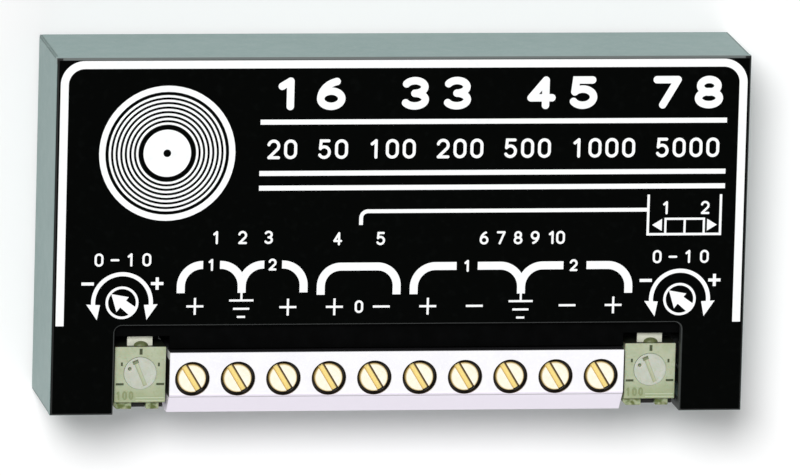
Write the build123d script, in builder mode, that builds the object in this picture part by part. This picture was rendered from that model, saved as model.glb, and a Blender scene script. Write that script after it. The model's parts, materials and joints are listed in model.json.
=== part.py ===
from build123d import *
import os

# Phono preamplifier module: a folded sheet-metal case that sticks to a surface, with a row of
# rising-clamp screw terminals between two gain trimmers along the front edge of its face.
# Frame: origin at the middle of the adhesive pad's underside, +Z out of the face, +X to the
# right of the face, -Y towards the wire entries.

os.makedirs("parts", exist_ok=True)

# ------------------------------------------------------------------ driving dimensions, mm
# Case
SIDE_PANEL_WIDTH = 6.9
FACE_DEPTH = 39.4
SHEET = 1.0
BEND_RADIUS = 0.25
SEAM_GAP = 0.35
NOTCH_DEPTH = 9.9
NOTCH_CORNER = 0.8
LABEL_THICKNESS = 0.25
LABEL_NOTCH_MARGIN = 0.15
PAD_THICKNESS = 0.8
PAD_INSET = 1.6
PAD_CLIP = 9.0
BASE_SHEET = 1.0
BASE_CLEARANCE = 0.15
LIP_CLEARANCE = 0.2

# Board and its fixings
SPACER_HEIGHT = 2.0
BOARD_THICKNESS = 1.6
BOARD_GAP = 0.3
BOARD_FRONT_GAP = 0.2
CLEAR_HEIGHT = 8.59
FIXING_INSET = 3.9
STANDOFF_DIAMETER = 4.2
FIXING_SCREW_DIAMETER = 2.5
FIXING_SCREW_LENGTH = 9.0
FIXING_HEAD_DIAMETER = 4.6
FIXING_HEAD_HEIGHT = 0.65
FIXING_HOLE_CLEARANCE = 0.1
THREAD_CLEARANCE = 0.05
LEAD_CLEARANCE = 0.15
LEAD_TAIL = 1.2

# Terminal block
TERMINAL_COUNT = 10
TERMINAL_PITCH = 5.0
HOUSING_DEPTH = 7.1
HOUSING_PROUD = 0.2
HOUSING_RECESS = 0.19
HOUSING_SLOPE_DEPTH = 2.35
HOUSING_SLOPE_DROP = 2.2
HOUSING_FRONT_WALL = 1.9
HOUSING_REAR_WALL = 0.5
TERMINAL_AXIS_BACK = 4.1
WELL_DIAMETER = 3.8
SHOULDER_THICKNESS = 0.6
SHOULDER_CLEARANCE = 0.1
WIRE_DIAMETER = 2.2
FUNNEL_WIDTH = 3.6
FUNNEL_HEIGHT = 3.4
FUNNEL_DEPTH = 0.9
FUNNEL_FLARE = 0.48

# Terminal screws, clamps and contacts
SCREW_HEAD_DIAMETER = 3.1
SCREW_HEAD_HEIGHT = 1.0
SCREW_HEAD_LIFT = 0.05
SCREW_SHANK_DIAMETER = 2.4
SLOT_WIDTH = 0.75
SLOT_DEPTH = 0.5
SLOT_ANGLE = -58.4
CLAMP_WIDTH = 3.4
CLAMP_DEPTH = 3.2
CLAMP_CORNER = 0.3
CLAMP_WALL = 0.5
CLAMP_BAR = 0.6
CLAMP_SIDE_CLEARANCE = 0.3
CLAMP_FLOOR_GAP = 0.55
CLAMP_RUNNING_GAP = 0.1
NUT_HEIGHT = 1.1
TONGUE_CLEARANCE = 0.2
TONGUE_THICKNESS = 0.7
CONTACT_LEG_THICKNESS = 0.5
CONTACT_PIN_WIDTH = 1.0
CONTACT_WALL_GAP = 0.15

# Gain trimmers
TRIMMER_WIDTH = 5.6
TRIMMER_DEPTH = 7.0
TRIMMER_HEIGHT = 4.4
TRIMMER_SIDE_CLEARANCE = 0.3
TRIMMER_FRONT_SETBACK = 0.3
TRIMMER_RECESS = 1.19
TRIMMER_CORNER = 0.35
TRIMMER_FOOT_GAP = 1.6
TRIMMER_FOOT_LENGTH = 0.85
ROTOR_BACK = 4.1
ROTOR_DIAMETER = 3.4
ROTOR_THICKNESS = 0.85
ROTOR_HUB_DIAMETER = 1.6
ROTOR_HUB_LENGTH = 1.5
ROTOR_CLEARANCE = 0.08
ROTOR_SLOT_WIDTH = 0.5
ROTOR_SLOT_LENGTH = 2.5
ROTOR_SLOT_DEPTH = 0.45
ROTOR_ARROW_WIDTH = 1.5
ROTOR_ARROW_LENGTH = 1.0
ROTOR_ARROW_ANGLE = 121.6
WIPER_TAB_WIDTH = 2.75
WIPER_TAB_LENGTH = 1.0
WIPER_TAB_THICKNESS = 0.4
WIPER_TAB_DROP = 0.8
TRIMMER_LEG_WIDTH = 0.8
TRIMMER_LEG_THICKNESS = 0.4
TRIMMER_LEG_SPACING = 3.8
TRIMMER_LEG_BACK = 1.8

# Ground switch
SWITCH_Y = 2.5
SWITCH_LENGTH = 8.6
SWITCH_DEPTH = 4.2
SWITCH_HEIGHT = 4.6
SWITCH_WALL = 0.4
SWITCH_BASE_HEIGHT = 0.6
SWITCH_WALL_GAP = 0.2
SWITCH_TRAVEL = 2.0
SLIDER_LENGTH = 4.4
SLIDER_CLEARANCE = 0.1
SLIDER_TIP = 2.0
SLIDER_TIP_RECESS = 0.1
SLIDER_WINDOW_CLEARANCE = 0.3
SWITCH_PIN_PITCH = 2.5
SWITCH_PIN = 0.5

# Insulator sheet
INSULATOR_THICKNESS = 0.4
INSULATOR_CLEARANCE = 0.25
INSULATOR_OVERLAP = 4.0

# Electronic parts
FILM_WIDTH = 7.2
FILM_DEPTH = 5.0
FILM_HEIGHT = 4.5
FILM_SPACING = 9.6
FILM_COUNT = 6
CAN_DIAMETER = 5.0
CAN_HEIGHT = 5.4
CAN_BASE_WIDTH = 5.3
CAN_BASE_CORNER = 1.0
CAN_BASE_HEIGHT = 0.8
CAN_SPACING = 18.0
CAN_COUNT = 3
OP_AMP_LENGTH = 4.9
OP_AMP_WIDTH = 3.9
OP_AMP_HEIGHT = 1.5
OP_AMP_STANDOFF = 0.1
OP_AMP_LEAD_PITCH = 1.27
OP_AMP_LEAD_WIDTH = 0.4
OP_AMP_LEAD_THICKNESS = 0.2
OP_AMP_LEAD_REACH = 1.0
OP_AMP_SPACING = 18.0
OP_AMP_COUNT = 3
OP_AMP_PINS_PER_SIDE = 4
RESISTOR_LENGTH = 2.0
RESISTOR_WIDTH = 1.25
RESISTOR_HEIGHT = 0.5
RESISTOR_X_SPACING = 4.4
RESISTOR_Y_SPACING = 2.6
RESISTOR_COLUMNS = 12
CHIP_CAPACITOR_SIZE = 1.6
CHIP_CAPACITOR_HEIGHT = 1.2
DIODE_LENGTH = 4.3
DIODE_WIDTH = 2.6
DIODE_HEIGHT = 2.2
DIODE_X = -9.0
REGULATOR_LENGTH = 6.5
REGULATOR_WIDTH = 3.5
REGULATOR_HEIGHT = 1.6
REGULATOR_X = 6.0

# ------------------------------------------------------------------ levels, from the pad up
BASE_BOTTOM = PAD_THICKNESS
BASE_TOP = BASE_BOTTOM + BASE_SHEET
BOARD_BOTTOM = BASE_TOP + SPACER_HEIGHT
BOARD_TOP = BOARD_BOTTOM + BOARD_THICKNESS
COVER_INSIDE_TOP = BOARD_TOP + CLEAR_HEIGHT
COVER_TOP = COVER_INSIDE_TOP + SHEET
LIP_TOP = BOARD_TOP - LIP_CLEARANCE
LEAD_END = BOARD_BOTTOM - LEAD_TAIL

# The notch holds the terminal housing and a trimmer bay at each end of it
HOUSING_WIDTH = TERMINAL_COUNT * TERMINAL_PITCH
NOTCH_WIDTH = HOUSING_WIDTH + 2 * (TRIMMER_WIDTH + 2 * TRIMMER_SIDE_CLEARANCE)
FACE_WIDTH = NOTCH_WIDTH + 2 * SIDE_PANEL_WIDTH

# Inside faces of the case walls
INSIDE_X = FACE_WIDTH / 2 - SHEET
INSIDE_Y = FACE_DEPTH / 2 - SHEET
NOTCH_REAR = NOTCH_DEPTH - FACE_DEPTH / 2

# Screw fixings at the four corners, midway between the notch and the side walls
FIXING_X = NOTCH_WIDTH / 2 + INSIDE_X
FIXING_Y = FACE_DEPTH - 2 * FIXING_INSET
FIXING_HOLE_RADIUS = FIXING_SCREW_DIAMETER / 2 + FIXING_HOLE_CLEARANCE

# Terminal mechanism, from the board up: clamp bar, wire, tongue, nut, shoulder, screw head
HOUSING_FRONT = -FACE_DEPTH / 2 - HOUSING_PROUD
HOUSING_REAR = HOUSING_FRONT + HOUSING_DEPTH
HOUSING_TOP = COVER_TOP - HOUSING_RECESS
TERMINAL_Y = HOUSING_FRONT + TERMINAL_AXIS_BACK
CHAMBER_FRONT = HOUSING_FRONT + HOUSING_FRONT_WALL
CHAMBER_REAR = HOUSING_REAR - HOUSING_REAR_WALL
CHAMBER_WIDTH = CLAMP_WIDTH + 2 * CLAMP_SIDE_CLEARANCE
CLAMP_BOTTOM = BOARD_TOP + CLAMP_FLOOR_GAP
WIRE_FLOOR = CLAMP_BOTTOM + CLAMP_BAR
WIRE_AXIS = WIRE_FLOOR + WIRE_DIAMETER / 2
TONGUE_BOTTOM = WIRE_FLOOR + WIRE_DIAMETER
TONGUE_TOP = TONGUE_BOTTOM + TONGUE_THICKNESS
NUT_BOTTOM = TONGUE_TOP + CLAMP_RUNNING_GAP
CLAMP_TOP = NUT_BOTTOM + NUT_HEIGHT
CLAMP_TRAVEL = WIRE_DIAMETER - CLAMP_RUNNING_GAP
CHAMBER_TOP = CLAMP_TOP + CLAMP_TRAVEL + CLAMP_RUNNING_GAP
SHOULDER_TOP = CHAMBER_TOP + SHOULDER_THICKNESS
SCREW_HEAD_BOTTOM = SHOULDER_TOP + SCREW_HEAD_LIFT
SCREW_HEAD_TOP = SCREW_HEAD_BOTTOM + SCREW_HEAD_HEIGHT
CONTACT_REAR = CHAMBER_REAR - CONTACT_WALL_GAP
CONTACT_LEG_Y = CONTACT_REAR - CONTACT_LEG_THICKNESS / 2
CLAMP_WINDOW = CLAMP_WIDTH - 2 * CLAMP_WALL
TONGUE_WIDTH = CLAMP_WINDOW - 2 * TONGUE_CLEARANCE
TERMINAL_X = [(i - (TERMINAL_COUNT - 1) / 2) * TERMINAL_PITCH for i in range(TERMINAL_COUNT)]

# Trimmers stand in the bays left of and right of the terminal housing
TRIMMER_X = (HOUSING_WIDTH + NOTCH_WIDTH) / 4
TRIMMER_FRONT = -FACE_DEPTH / 2 + TRIMMER_FRONT_SETBACK
TRIMMER_REAR = TRIMMER_FRONT + TRIMMER_DEPTH
TRIMMER_TOP = COVER_TOP - TRIMMER_RECESS
TRIMMER_BOTTOM = TRIMMER_TOP - TRIMMER_HEIGHT
ROTOR_Y = TRIMMER_FRONT + ROTOR_BACK
TRIMMER_LEG_Y = TRIMMER_FRONT + TRIMMER_LEG_BACK
WIPER_LEG_Y = TRIMMER_REAR + WIPER_TAB_LENGTH - TRIMMER_LEG_THICKNESS / 2

# Ground switch, against the right wall
SWITCH_FRONT_X = INSIDE_X - SWITCH_WALL_GAP
SWITCH_REAR_X = SWITCH_FRONT_X - SWITCH_DEPTH
SWITCH_X = (SWITCH_FRONT_X + SWITCH_REAR_X) / 2
SWITCH_BASE_TOP = BOARD_TOP + SWITCH_BASE_HEIGHT
SWITCH_TOP = BOARD_TOP + SWITCH_HEIGHT
SLIDER_BOTTOM = SWITCH_BASE_TOP + 2 * SLIDER_CLEARANCE
SLIDER_TOP = SWITCH_TOP - SWITCH_WALL - SLIDER_CLEARANCE
SLIDER_Y = SWITCH_Y - SWITCH_TRAVEL / 2
SLIDER_AXIS_Z = (SLIDER_BOTTOM + SLIDER_TOP) / 2
SWITCH_PIN_HOLE = SWITCH_PIN + 2 * LEAD_CLEARANCE

# Rows of electronic parts, evenly spread between the rear wall and the terminal housing
OP_AMP_SPAN = OP_AMP_WIDTH + 2 * OP_AMP_LEAD_REACH
RESISTOR_SPAN = RESISTOR_Y_SPACING + RESISTOR_WIDTH
ROWS_DEPTH = FILM_DEPTH + CAN_BASE_WIDTH + OP_AMP_SPAN + RESISTOR_SPAN + REGULATOR_WIDTH
ROW_GAP = (INSIDE_Y - HOUSING_REAR - ROWS_DEPTH) / 6
FILM_Y = INSIDE_Y - ROW_GAP - FILM_DEPTH / 2
CAN_Y = FILM_Y - FILM_DEPTH / 2 - ROW_GAP - CAN_BASE_WIDTH / 2
OP_AMP_Y = CAN_Y - CAN_BASE_WIDTH / 2 - ROW_GAP - OP_AMP_SPAN / 2
RESISTOR_Y = OP_AMP_Y - OP_AMP_SPAN / 2 - ROW_GAP - RESISTOR_SPAN / 2
POWER_ROW_Y = RESISTOR_Y - RESISTOR_SPAN / 2 - ROW_GAP - REGULATOR_WIDTH / 2
FILM_X = [(i - (FILM_COUNT - 1) / 2) * FILM_SPACING for i in range(FILM_COUNT)]
CAN_X = [(i - (CAN_COUNT - 1) / 2) * CAN_SPACING for i in range(CAN_COUNT)]
OP_AMP_X = [(i - (OP_AMP_COUNT - 1) / 2) * OP_AMP_SPACING for i in range(OP_AMP_COUNT)]


# ------------------------------------------------------------------ case
with BuildPart() as adhesive_pad:
    with BuildSketch():
        pad_outline = Rectangle(FACE_WIDTH - 2 * PAD_INSET, FACE_DEPTH - 2 * PAD_INSET)
        chamfer(pad_outline.vertices(), PAD_CLIP)
    extrude(amount=PAD_THICKNESS)
adhesive_pad.part.label = "adhesive_pad"
export_step(adhesive_pad.part, "parts/adhesive_pad.step")

# Base plate: a flat sheet whose front lip turns up between the cover's two front panels
with BuildPart() as base_plate:
    with BuildSketch(Plane.XY.offset(BASE_BOTTOM)):
        Rectangle(2 * (INSIDE_X - BASE_CLEARANCE), 2 * (INSIDE_Y - BASE_CLEARANCE))
    extrude(amount=BASE_SHEET)
    lip_length = NOTCH_WIDTH - 4 * BASE_CLEARANCE
    lip_outer = -FACE_DEPTH / 2
    with BuildSketch(Plane.YZ.offset(-lip_length / 2)):
        with BuildLine():
            Polyline(
                (0, BASE_BOTTOM),
                (lip_outer, BASE_BOTTOM),
                (lip_outer, LIP_TOP),
                (lip_outer + BASE_SHEET, LIP_TOP),
                (lip_outer + BASE_SHEET, BASE_TOP),
                (0, BASE_TOP),
                close=True,
            )
        make_face()
    extrude(amount=lip_length)
    lip_edges = base_plate.edges().filter_by(Axis.X).filter_by_position(
        Axis.Y, lip_outer - BEND_RADIUS, lip_outer + BEND_RADIUS
    )
    fillet(lip_edges.sort_by(Axis.Z)[0], BEND_RADIUS)
    with Locations((0, 0, BASE_TOP)):
        with GridLocations(FIXING_X, FIXING_Y, 2, 2):
            Hole(FIXING_HOLE_RADIUS, depth=BASE_SHEET)
base_plate.part.label = "base_plate"
export_step(base_plate.part, "parts/base_plate.step")

# Cover: one folded sheet, its walls open to each other along the corner seams
with BuildPart() as case_cover:
    with BuildSketch(Plane.XY.offset(BASE_BOTTOM)):
        Rectangle(FACE_WIDTH, FACE_DEPTH)
    extrude(amount=COVER_TOP - BASE_BOTTOM)
    fillet(case_cover.faces().sort_by(Axis.Z)[-1].edges(), BEND_RADIUS)
    with BuildSketch(Plane.XY.offset(BASE_BOTTOM)):
        Rectangle(2 * INSIDE_X, 2 * INSIDE_Y)
    extrude(amount=COVER_INSIDE_TOP - BASE_BOTTOM, mode=Mode.SUBTRACT)
    with BuildSketch(Plane.XY.offset(BASE_BOTTOM)):
        with Locations((0, -FACE_DEPTH / 2)):
            RectangleRounded(NOTCH_WIDTH, 2 * NOTCH_DEPTH, NOTCH_CORNER)
    extrude(amount=COVER_TOP - BASE_BOTTOM, mode=Mode.SUBTRACT)
    for side_x in (-1, 1):
        for side_y in (-1, 1):
            seam_middle = (
                side_x * (FACE_WIDTH - SHEET) / 2,
                side_y * (FACE_DEPTH - SHEET) / 2,
                BASE_BOTTOM,
            )
            with BuildSketch(Plane(origin=seam_middle)):
                Rectangle(3 * SHEET, SEAM_GAP, rotation=45 * side_x * side_y)
            extrude(amount=COVER_INSIDE_TOP - BASE_BOTTOM, mode=Mode.SUBTRACT)
    window_middle = (INSIDE_X, SWITCH_Y, SLIDER_AXIS_Z)
    with BuildSketch(Plane(origin=window_middle, x_dir=(0, 1, 0), z_dir=(1, 0, 0))):
        RectangleRounded(
            SLIDER_TIP + SWITCH_TRAVEL + 2 * SLIDER_WINDOW_CLEARANCE,
            SLIDER_TIP + 2 * SLIDER_WINDOW_CLEARANCE,
            SLIDER_WINDOW_CLEARANCE,
        )
    extrude(amount=SHEET, mode=Mode.SUBTRACT)
case_cover.part.label = "case_cover"
export_step(case_cover.part, "parts/case_cover.step")

with BuildPart() as face_label:
    with BuildSketch(Plane.XY.offset(COVER_TOP)):
        Rectangle(FACE_WIDTH - 2 * BEND_RADIUS, FACE_DEPTH - 2 * BEND_RADIUS)
        with Locations((0, -FACE_DEPTH / 2)):
            RectangleRounded(
                NOTCH_WIDTH + 2 * LABEL_NOTCH_MARGIN,
                2 * (NOTCH_DEPTH + LABEL_NOTCH_MARGIN),
                NOTCH_CORNER + LABEL_NOTCH_MARGIN,
                mode=Mode.SUBTRACT,
            )
    extrude(amount=LABEL_THICKNESS)
face_label.part.label = "face_label"
export_step(face_label.part, "parts/face_label.step")

# Black film under the face, reaching forward to the terminal housing and round the trimmers
with BuildPart() as insulator_sheet:
    with BuildSketch(Plane.XY.offset(COVER_INSIDE_TOP - INSULATOR_THICKNESS)):
        sheet_rear = NOTCH_REAR + INSULATOR_OVERLAP
        sheet_front = HOUSING_REAR + INSULATOR_CLEARANCE
        side_front = TRIMMER_REAR + WIPER_TAB_LENGTH + INSULATOR_CLEARANCE
        with Locations((0, (sheet_rear + sheet_front) / 2)):
            Rectangle(HOUSING_WIDTH, sheet_rear - sheet_front)
        with Locations((0, (sheet_rear + side_front) / 2)):
            Rectangle(NOTCH_WIDTH + INSULATOR_OVERLAP, sheet_rear - side_front)
    extrude(amount=INSULATOR_THICKNESS)
insulator_sheet.part.label = "insulator_sheet"
export_step(insulator_sheet.part, "parts/insulator_sheet.step")

# ------------------------------------------------------------------ board and fixings
board_front = -INSIDE_Y + BOARD_FRONT_GAP
board_rear = INSIDE_Y - BOARD_GAP
with BuildPart() as circuit_board:
    with BuildSketch(Plane.XY.offset(BOARD_BOTTOM)):
        with Locations((0, (board_front + board_rear) / 2)):
            Rectangle(2 * (INSIDE_X - BOARD_GAP), board_rear - board_front)
        with GridLocations(FIXING_X, FIXING_Y, 2, 2):
            Circle(FIXING_HOLE_RADIUS, mode=Mode.SUBTRACT)
        with Locations([(x, CONTACT_LEG_Y) for x in TERMINAL_X]):
            Rectangle(
                CONTACT_PIN_WIDTH + 2 * LEAD_CLEARANCE,
                CONTACT_LEG_THICKNESS + 2 * LEAD_CLEARANCE,
                mode=Mode.SUBTRACT,
            )
        for side in (-1, 1):
            leg_places = [
                (side * TRIMMER_X, WIPER_LEG_Y),
                (side * TRIMMER_X - TRIMMER_LEG_SPACING / 2, TRIMMER_LEG_Y),
                (side * TRIMMER_X + TRIMMER_LEG_SPACING / 2, TRIMMER_LEG_Y),
            ]
            with Locations(leg_places):
                Rectangle(
                    TRIMMER_LEG_WIDTH + 2 * LEAD_CLEARANCE,
                    TRIMMER_LEG_THICKNESS + 2 * LEAD_CLEARANCE,
                    mode=Mode.SUBTRACT,
                )
        with Locations((SWITCH_X, SWITCH_Y)):
            with GridLocations(1, SWITCH_PIN_PITCH, 1, 3):
                Rectangle(SWITCH_PIN_HOLE, SWITCH_PIN_HOLE, mode=Mode.SUBTRACT)
    extrude(amount=BOARD_THICKNESS)
circuit_board.part.label = "circuit_board"
export_step(circuit_board.part, "parts/circuit_board.step")

with BuildPart() as board_spacers:
    with BuildSketch(Plane.XY.offset(BASE_TOP)):
        with GridLocations(FIXING_X, FIXING_Y, 2, 2):
            RegularPolygon(STANDOFF_DIAMETER / 2, 6)
        with GridLocations(FIXING_X, FIXING_Y, 2, 2):
            Circle(FIXING_HOLE_RADIUS, mode=Mode.SUBTRACT)
    extrude(amount=SPACER_HEIGHT)
board_spacers.part.label = "board_spacers"
export_step(board_spacers.part, "parts/board_spacers.step")

# Hexagonal stand-offs clinched under the face, bored for the base screws
with BuildPart() as cover_standoffs:
    with BuildSketch(Plane.XY.offset(BOARD_TOP)):
        with GridLocations(FIXING_X, FIXING_Y, 2, 2):
            RegularPolygon(STANDOFF_DIAMETER / 2, 6)
    extrude(amount=CLEAR_HEIGHT)
    with BuildSketch(Plane.XY.offset(BOARD_TOP)):
        with GridLocations(FIXING_X, FIXING_Y, 2, 2):
            Circle(FIXING_SCREW_DIAMETER / 2 + THREAD_CLEARANCE)
    extrude(amount=CLEAR_HEIGHT - SHEET, mode=Mode.SUBTRACT)
cover_standoffs.part.label = "cover_standoffs"
export_step(cover_standoffs.part, "parts/cover_standoffs.step")

# Low-headed screws, their heads beside the pad and no thicker than it
with BuildPart() as base_screws:
    with BuildSketch(Plane.XY.offset(BASE_BOTTOM)):
        with GridLocations(FIXING_X, FIXING_Y, 2, 2):
            Circle(FIXING_SCREW_DIAMETER / 2)
    extrude(amount=FIXING_SCREW_LENGTH)
    with BuildSketch(Plane.XY.offset(BASE_BOTTOM - FIXING_HEAD_HEIGHT)):
        with GridLocations(FIXING_X, FIXING_Y, 2, 2):
            Circle(FIXING_HEAD_DIAMETER / 2)
    extrude(amount=FIXING_HEAD_HEIGHT)
base_screws.part.label = "base_screws"
export_step(base_screws.part, "parts/base_screws.step")

# ------------------------------------------------------------------ terminal block
# Moulded housing: a sloped front, one chamber per pole open to the board, a shoulder that the
# screw head bears on, a well for the driver and a funnelled entry for the wire
with BuildPart() as terminal_housing:
    with BuildSketch(Plane.YZ.offset(-HOUSING_WIDTH / 2)):
        with BuildLine():
            Polyline(
                (HOUSING_FRONT, BOARD_TOP),
                (HOUSING_FRONT, HOUSING_TOP - HOUSING_SLOPE_DROP),
                (HOUSING_FRONT + HOUSING_SLOPE_DEPTH, HOUSING_TOP),
                (HOUSING_REAR, HOUSING_TOP),
                (HOUSING_REAR, BOARD_TOP),
                close=True,
            )
        make_face()
    extrude(amount=HOUSING_WIDTH)
    with BuildSketch(Plane.XY.offset(BOARD_TOP)):
        with Locations([(x, (CHAMBER_FRONT + CHAMBER_REAR) / 2) for x in TERMINAL_X]):
            Rectangle(CHAMBER_WIDTH, CHAMBER_REAR - CHAMBER_FRONT)
    extrude(amount=CHAMBER_TOP - BOARD_TOP, mode=Mode.SUBTRACT)
    with Locations([(x, TERMINAL_Y, HOUSING_TOP) for x in TERMINAL_X]):
        CounterBoreHole(
            SCREW_SHANK_DIAMETER / 2 + SHOULDER_CLEARANCE,
            WELL_DIAMETER / 2,
            counter_bore_depth=HOUSING_TOP - SHOULDER_TOP,
            depth=HOUSING_TOP - CHAMBER_TOP,
        )
    entry_middle = (0, HOUSING_FRONT, WIRE_AXIS)
    entry_plane = Plane(origin=entry_middle, x_dir=(-1, 0, 0), z_dir=(0, 1, 0))
    with BuildSketch(entry_plane):
        with GridLocations(TERMINAL_PITCH, 1, TERMINAL_COUNT, 1):
            Rectangle(FUNNEL_WIDTH - 2 * FUNNEL_FLARE, FUNNEL_HEIGHT - 2 * FUNNEL_FLARE)
    extrude(amount=FUNNEL_DEPTH, mode=Mode.SUBTRACT)
    front_face = terminal_housing.faces().sort_by(Axis.Y)[0]
    chamfer(front_face.inner_wires().edges(), FUNNEL_FLARE)
    with BuildSketch(entry_plane):
        with GridLocations(TERMINAL_PITCH, 1, TERMINAL_COUNT, 1):
            Circle(WIRE_DIAMETER / 2)
    extrude(amount=HOUSING_FRONT_WALL, mode=Mode.SUBTRACT)
terminal_housing.part.label = "terminal_housing"
export_step(terminal_housing.part, "parts/terminal_housing.step")


def terminal_screw(x):
    """Cheese-headed clamping screw of one pole, standing on its shoulder."""
    shank = SCREW_SHANK_DIAMETER / 2
    head = SCREW_HEAD_DIAMETER / 2
    with BuildPart() as screw:
        with BuildSketch(Plane(origin=(x, TERMINAL_Y, 0), x_dir=(1, 0, 0), z_dir=(0, -1, 0))):
            with BuildLine():
                Polyline(
                    (0, NUT_BOTTOM),
                    (shank, NUT_BOTTOM),
                    (shank, SCREW_HEAD_BOTTOM),
                    (head, SCREW_HEAD_BOTTOM),
                    (head, SCREW_HEAD_TOP),
                    (0, SCREW_HEAD_TOP),
                    close=True,
                )
            make_face()
        revolve(axis=Axis((x, TERMINAL_Y, 0), (0, 0, 1)))
        with BuildSketch(Plane(origin=(x, TERMINAL_Y, SCREW_HEAD_TOP))):
            Rectangle(SCREW_HEAD_DIAMETER + SLOT_WIDTH, SLOT_WIDTH, rotation=SLOT_ANGLE)
        extrude(amount=-SLOT_DEPTH, mode=Mode.SUBTRACT)
    return screw


def terminal_clamp(x):
    """Rising cage of one pole: bar under the wire, sides round the tongue, nut on the screw."""
    with BuildPart() as clamp:
        with BuildSketch(Plane(origin=(x, TERMINAL_Y, CLAMP_BOTTOM))):
            cage = Rectangle(CLAMP_WIDTH, CLAMP_DEPTH)
            chamfer(cage.vertices(), CLAMP_CORNER)
        extrude(amount=CLAMP_TOP - CLAMP_BOTTOM)
        window_middle = (x, TERMINAL_Y, (WIRE_FLOOR + NUT_BOTTOM) / 2)
        with BuildSketch(Plane(origin=window_middle, x_dir=(1, 0, 0), z_dir=(0, -1, 0))):
            Rectangle(CLAMP_WINDOW, NUT_BOTTOM - WIRE_FLOOR)
        extrude(amount=CLAMP_DEPTH, both=True, mode=Mode.SUBTRACT)
        with Locations((x, TERMINAL_Y, CLAMP_TOP)):
            Hole(SCREW_SHANK_DIAMETER / 2 + THREAD_CLEARANCE, depth=NUT_HEIGHT)
    return clamp


for number, pole_x in enumerate(TERMINAL_X, start=1):
    screw = terminal_screw(pole_x)
    screw.part.label = f"terminal_screw_{number:02d}"
    export_step(screw.part, f"parts/terminal_screw_{number:02d}.step")
    clamp = terminal_clamp(pole_x)
    clamp.part.label = f"terminal_clamp_{number:02d}"
    export_step(clamp.part, f"parts/terminal_clamp_{number:02d}.step")

# Contacts: a tongue through each cage, a leg behind it and a pin through the board
with BuildPart() as terminal_contacts:
    tongue_front = CHAMBER_FRONT + CONTACT_WALL_GAP
    with BuildSketch(Plane.XY.offset(TONGUE_BOTTOM)):
        with Locations([(x, (tongue_front + CONTACT_REAR) / 2) for x in TERMINAL_X]):
            Rectangle(TONGUE_WIDTH, CONTACT_REAR - tongue_front)
    extrude(amount=TONGUE_THICKNESS)
    with BuildSketch(Plane.XY.offset(BOARD_TOP)):
        with Locations([(x, CONTACT_LEG_Y) for x in TERMINAL_X]):
            Rectangle(TONGUE_WIDTH, CONTACT_LEG_THICKNESS)
    extrude(amount=TONGUE_BOTTOM - BOARD_TOP)
    with BuildSketch(Plane.XY.offset(LEAD_END)):
        with Locations([(x, CONTACT_LEG_Y) for x in TERMINAL_X]):
            Rectangle(CONTACT_PIN_WIDTH, CONTACT_LEG_THICKNESS)
    extrude(amount=BOARD_TOP - LEAD_END)
terminal_contacts.part.label = "terminal_contacts"
export_step(terminal_contacts.part, "parts/terminal_contacts.step")


# ------------------------------------------------------------------ gain trimmers
def trimmer_body(x):
    """Moulded trimmer body with a round seat for the rotor and two feet at its front."""
    with BuildPart() as body:
        with BuildSketch(Plane(origin=(x, 0, TRIMMER_BOTTOM))):
            with Locations((0, (TRIMMER_FRONT + TRIMMER_REAR) / 2)):
                outline = Rectangle(TRIMMER_WIDTH, TRIMMER_DEPTH)
            chamfer(outline.vertices().sort_by(Axis.Y)[:2], TRIMMER_CORNER)
            with Locations((0, TRIMMER_FRONT)):
                Rectangle(TRIMMER_FOOT_GAP, 2 * TRIMMER_FOOT_LENGTH, mode=Mode.SUBTRACT)
        extrude(amount=TRIMMER_HEIGHT)
        with Locations((x, ROTOR_Y, TRIMMER_TOP)):
            CounterBoreHole(
                ROTOR_HUB_DIAMETER / 2 + ROTOR_CLEARANCE,
                ROTOR_DIAMETER / 2 + ROTOR_CLEARANCE,
                counter_bore_depth=ROTOR_THICKNESS,
                depth=ROTOR_THICKNESS + ROTOR_HUB_LENGTH + ROTOR_CLEARANCE,
            )
    return body


def trimmer_rotor(x):
    """Rotor disc with an arrow-shaped driver slot, and the hub it turns on."""
    with BuildPart() as rotor:
        rotor_bottom = TRIMMER_TOP - ROTOR_THICKNESS + ROTOR_CLEARANCE
        rotor_top = rotor_bottom + ROTOR_THICKNESS
        with BuildSketch(Plane(origin=(x, ROTOR_Y, rotor_bottom))):
            Circle(ROTOR_DIAMETER / 2)
        extrude(amount=ROTOR_THICKNESS)
        with BuildSketch(Plane(origin=(x, ROTOR_Y, rotor_bottom))):
            Circle(ROTOR_HUB_DIAMETER / 2)
        extrude(amount=-ROTOR_HUB_LENGTH)
        arrow_plane = Plane(origin=(x, ROTOR_Y, rotor_top)).rotated((0, 0, ROTOR_ARROW_ANGLE))
        with BuildSketch(arrow_plane):
            Rectangle(ROTOR_SLOT_LENGTH, ROTOR_SLOT_WIDTH)
            tip = ROTOR_SLOT_LENGTH / 2
            with BuildLine():
                Polyline(
                    (tip, 0),
                    (tip - ROTOR_ARROW_LENGTH, ROTOR_ARROW_WIDTH / 2),
                    (tip - ROTOR_ARROW_LENGTH, -ROTOR_ARROW_WIDTH / 2),
                    close=True,
                )
            make_face()
        extrude(amount=-ROTOR_SLOT_DEPTH, mode=Mode.SUBTRACT)
    return rotor


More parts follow.
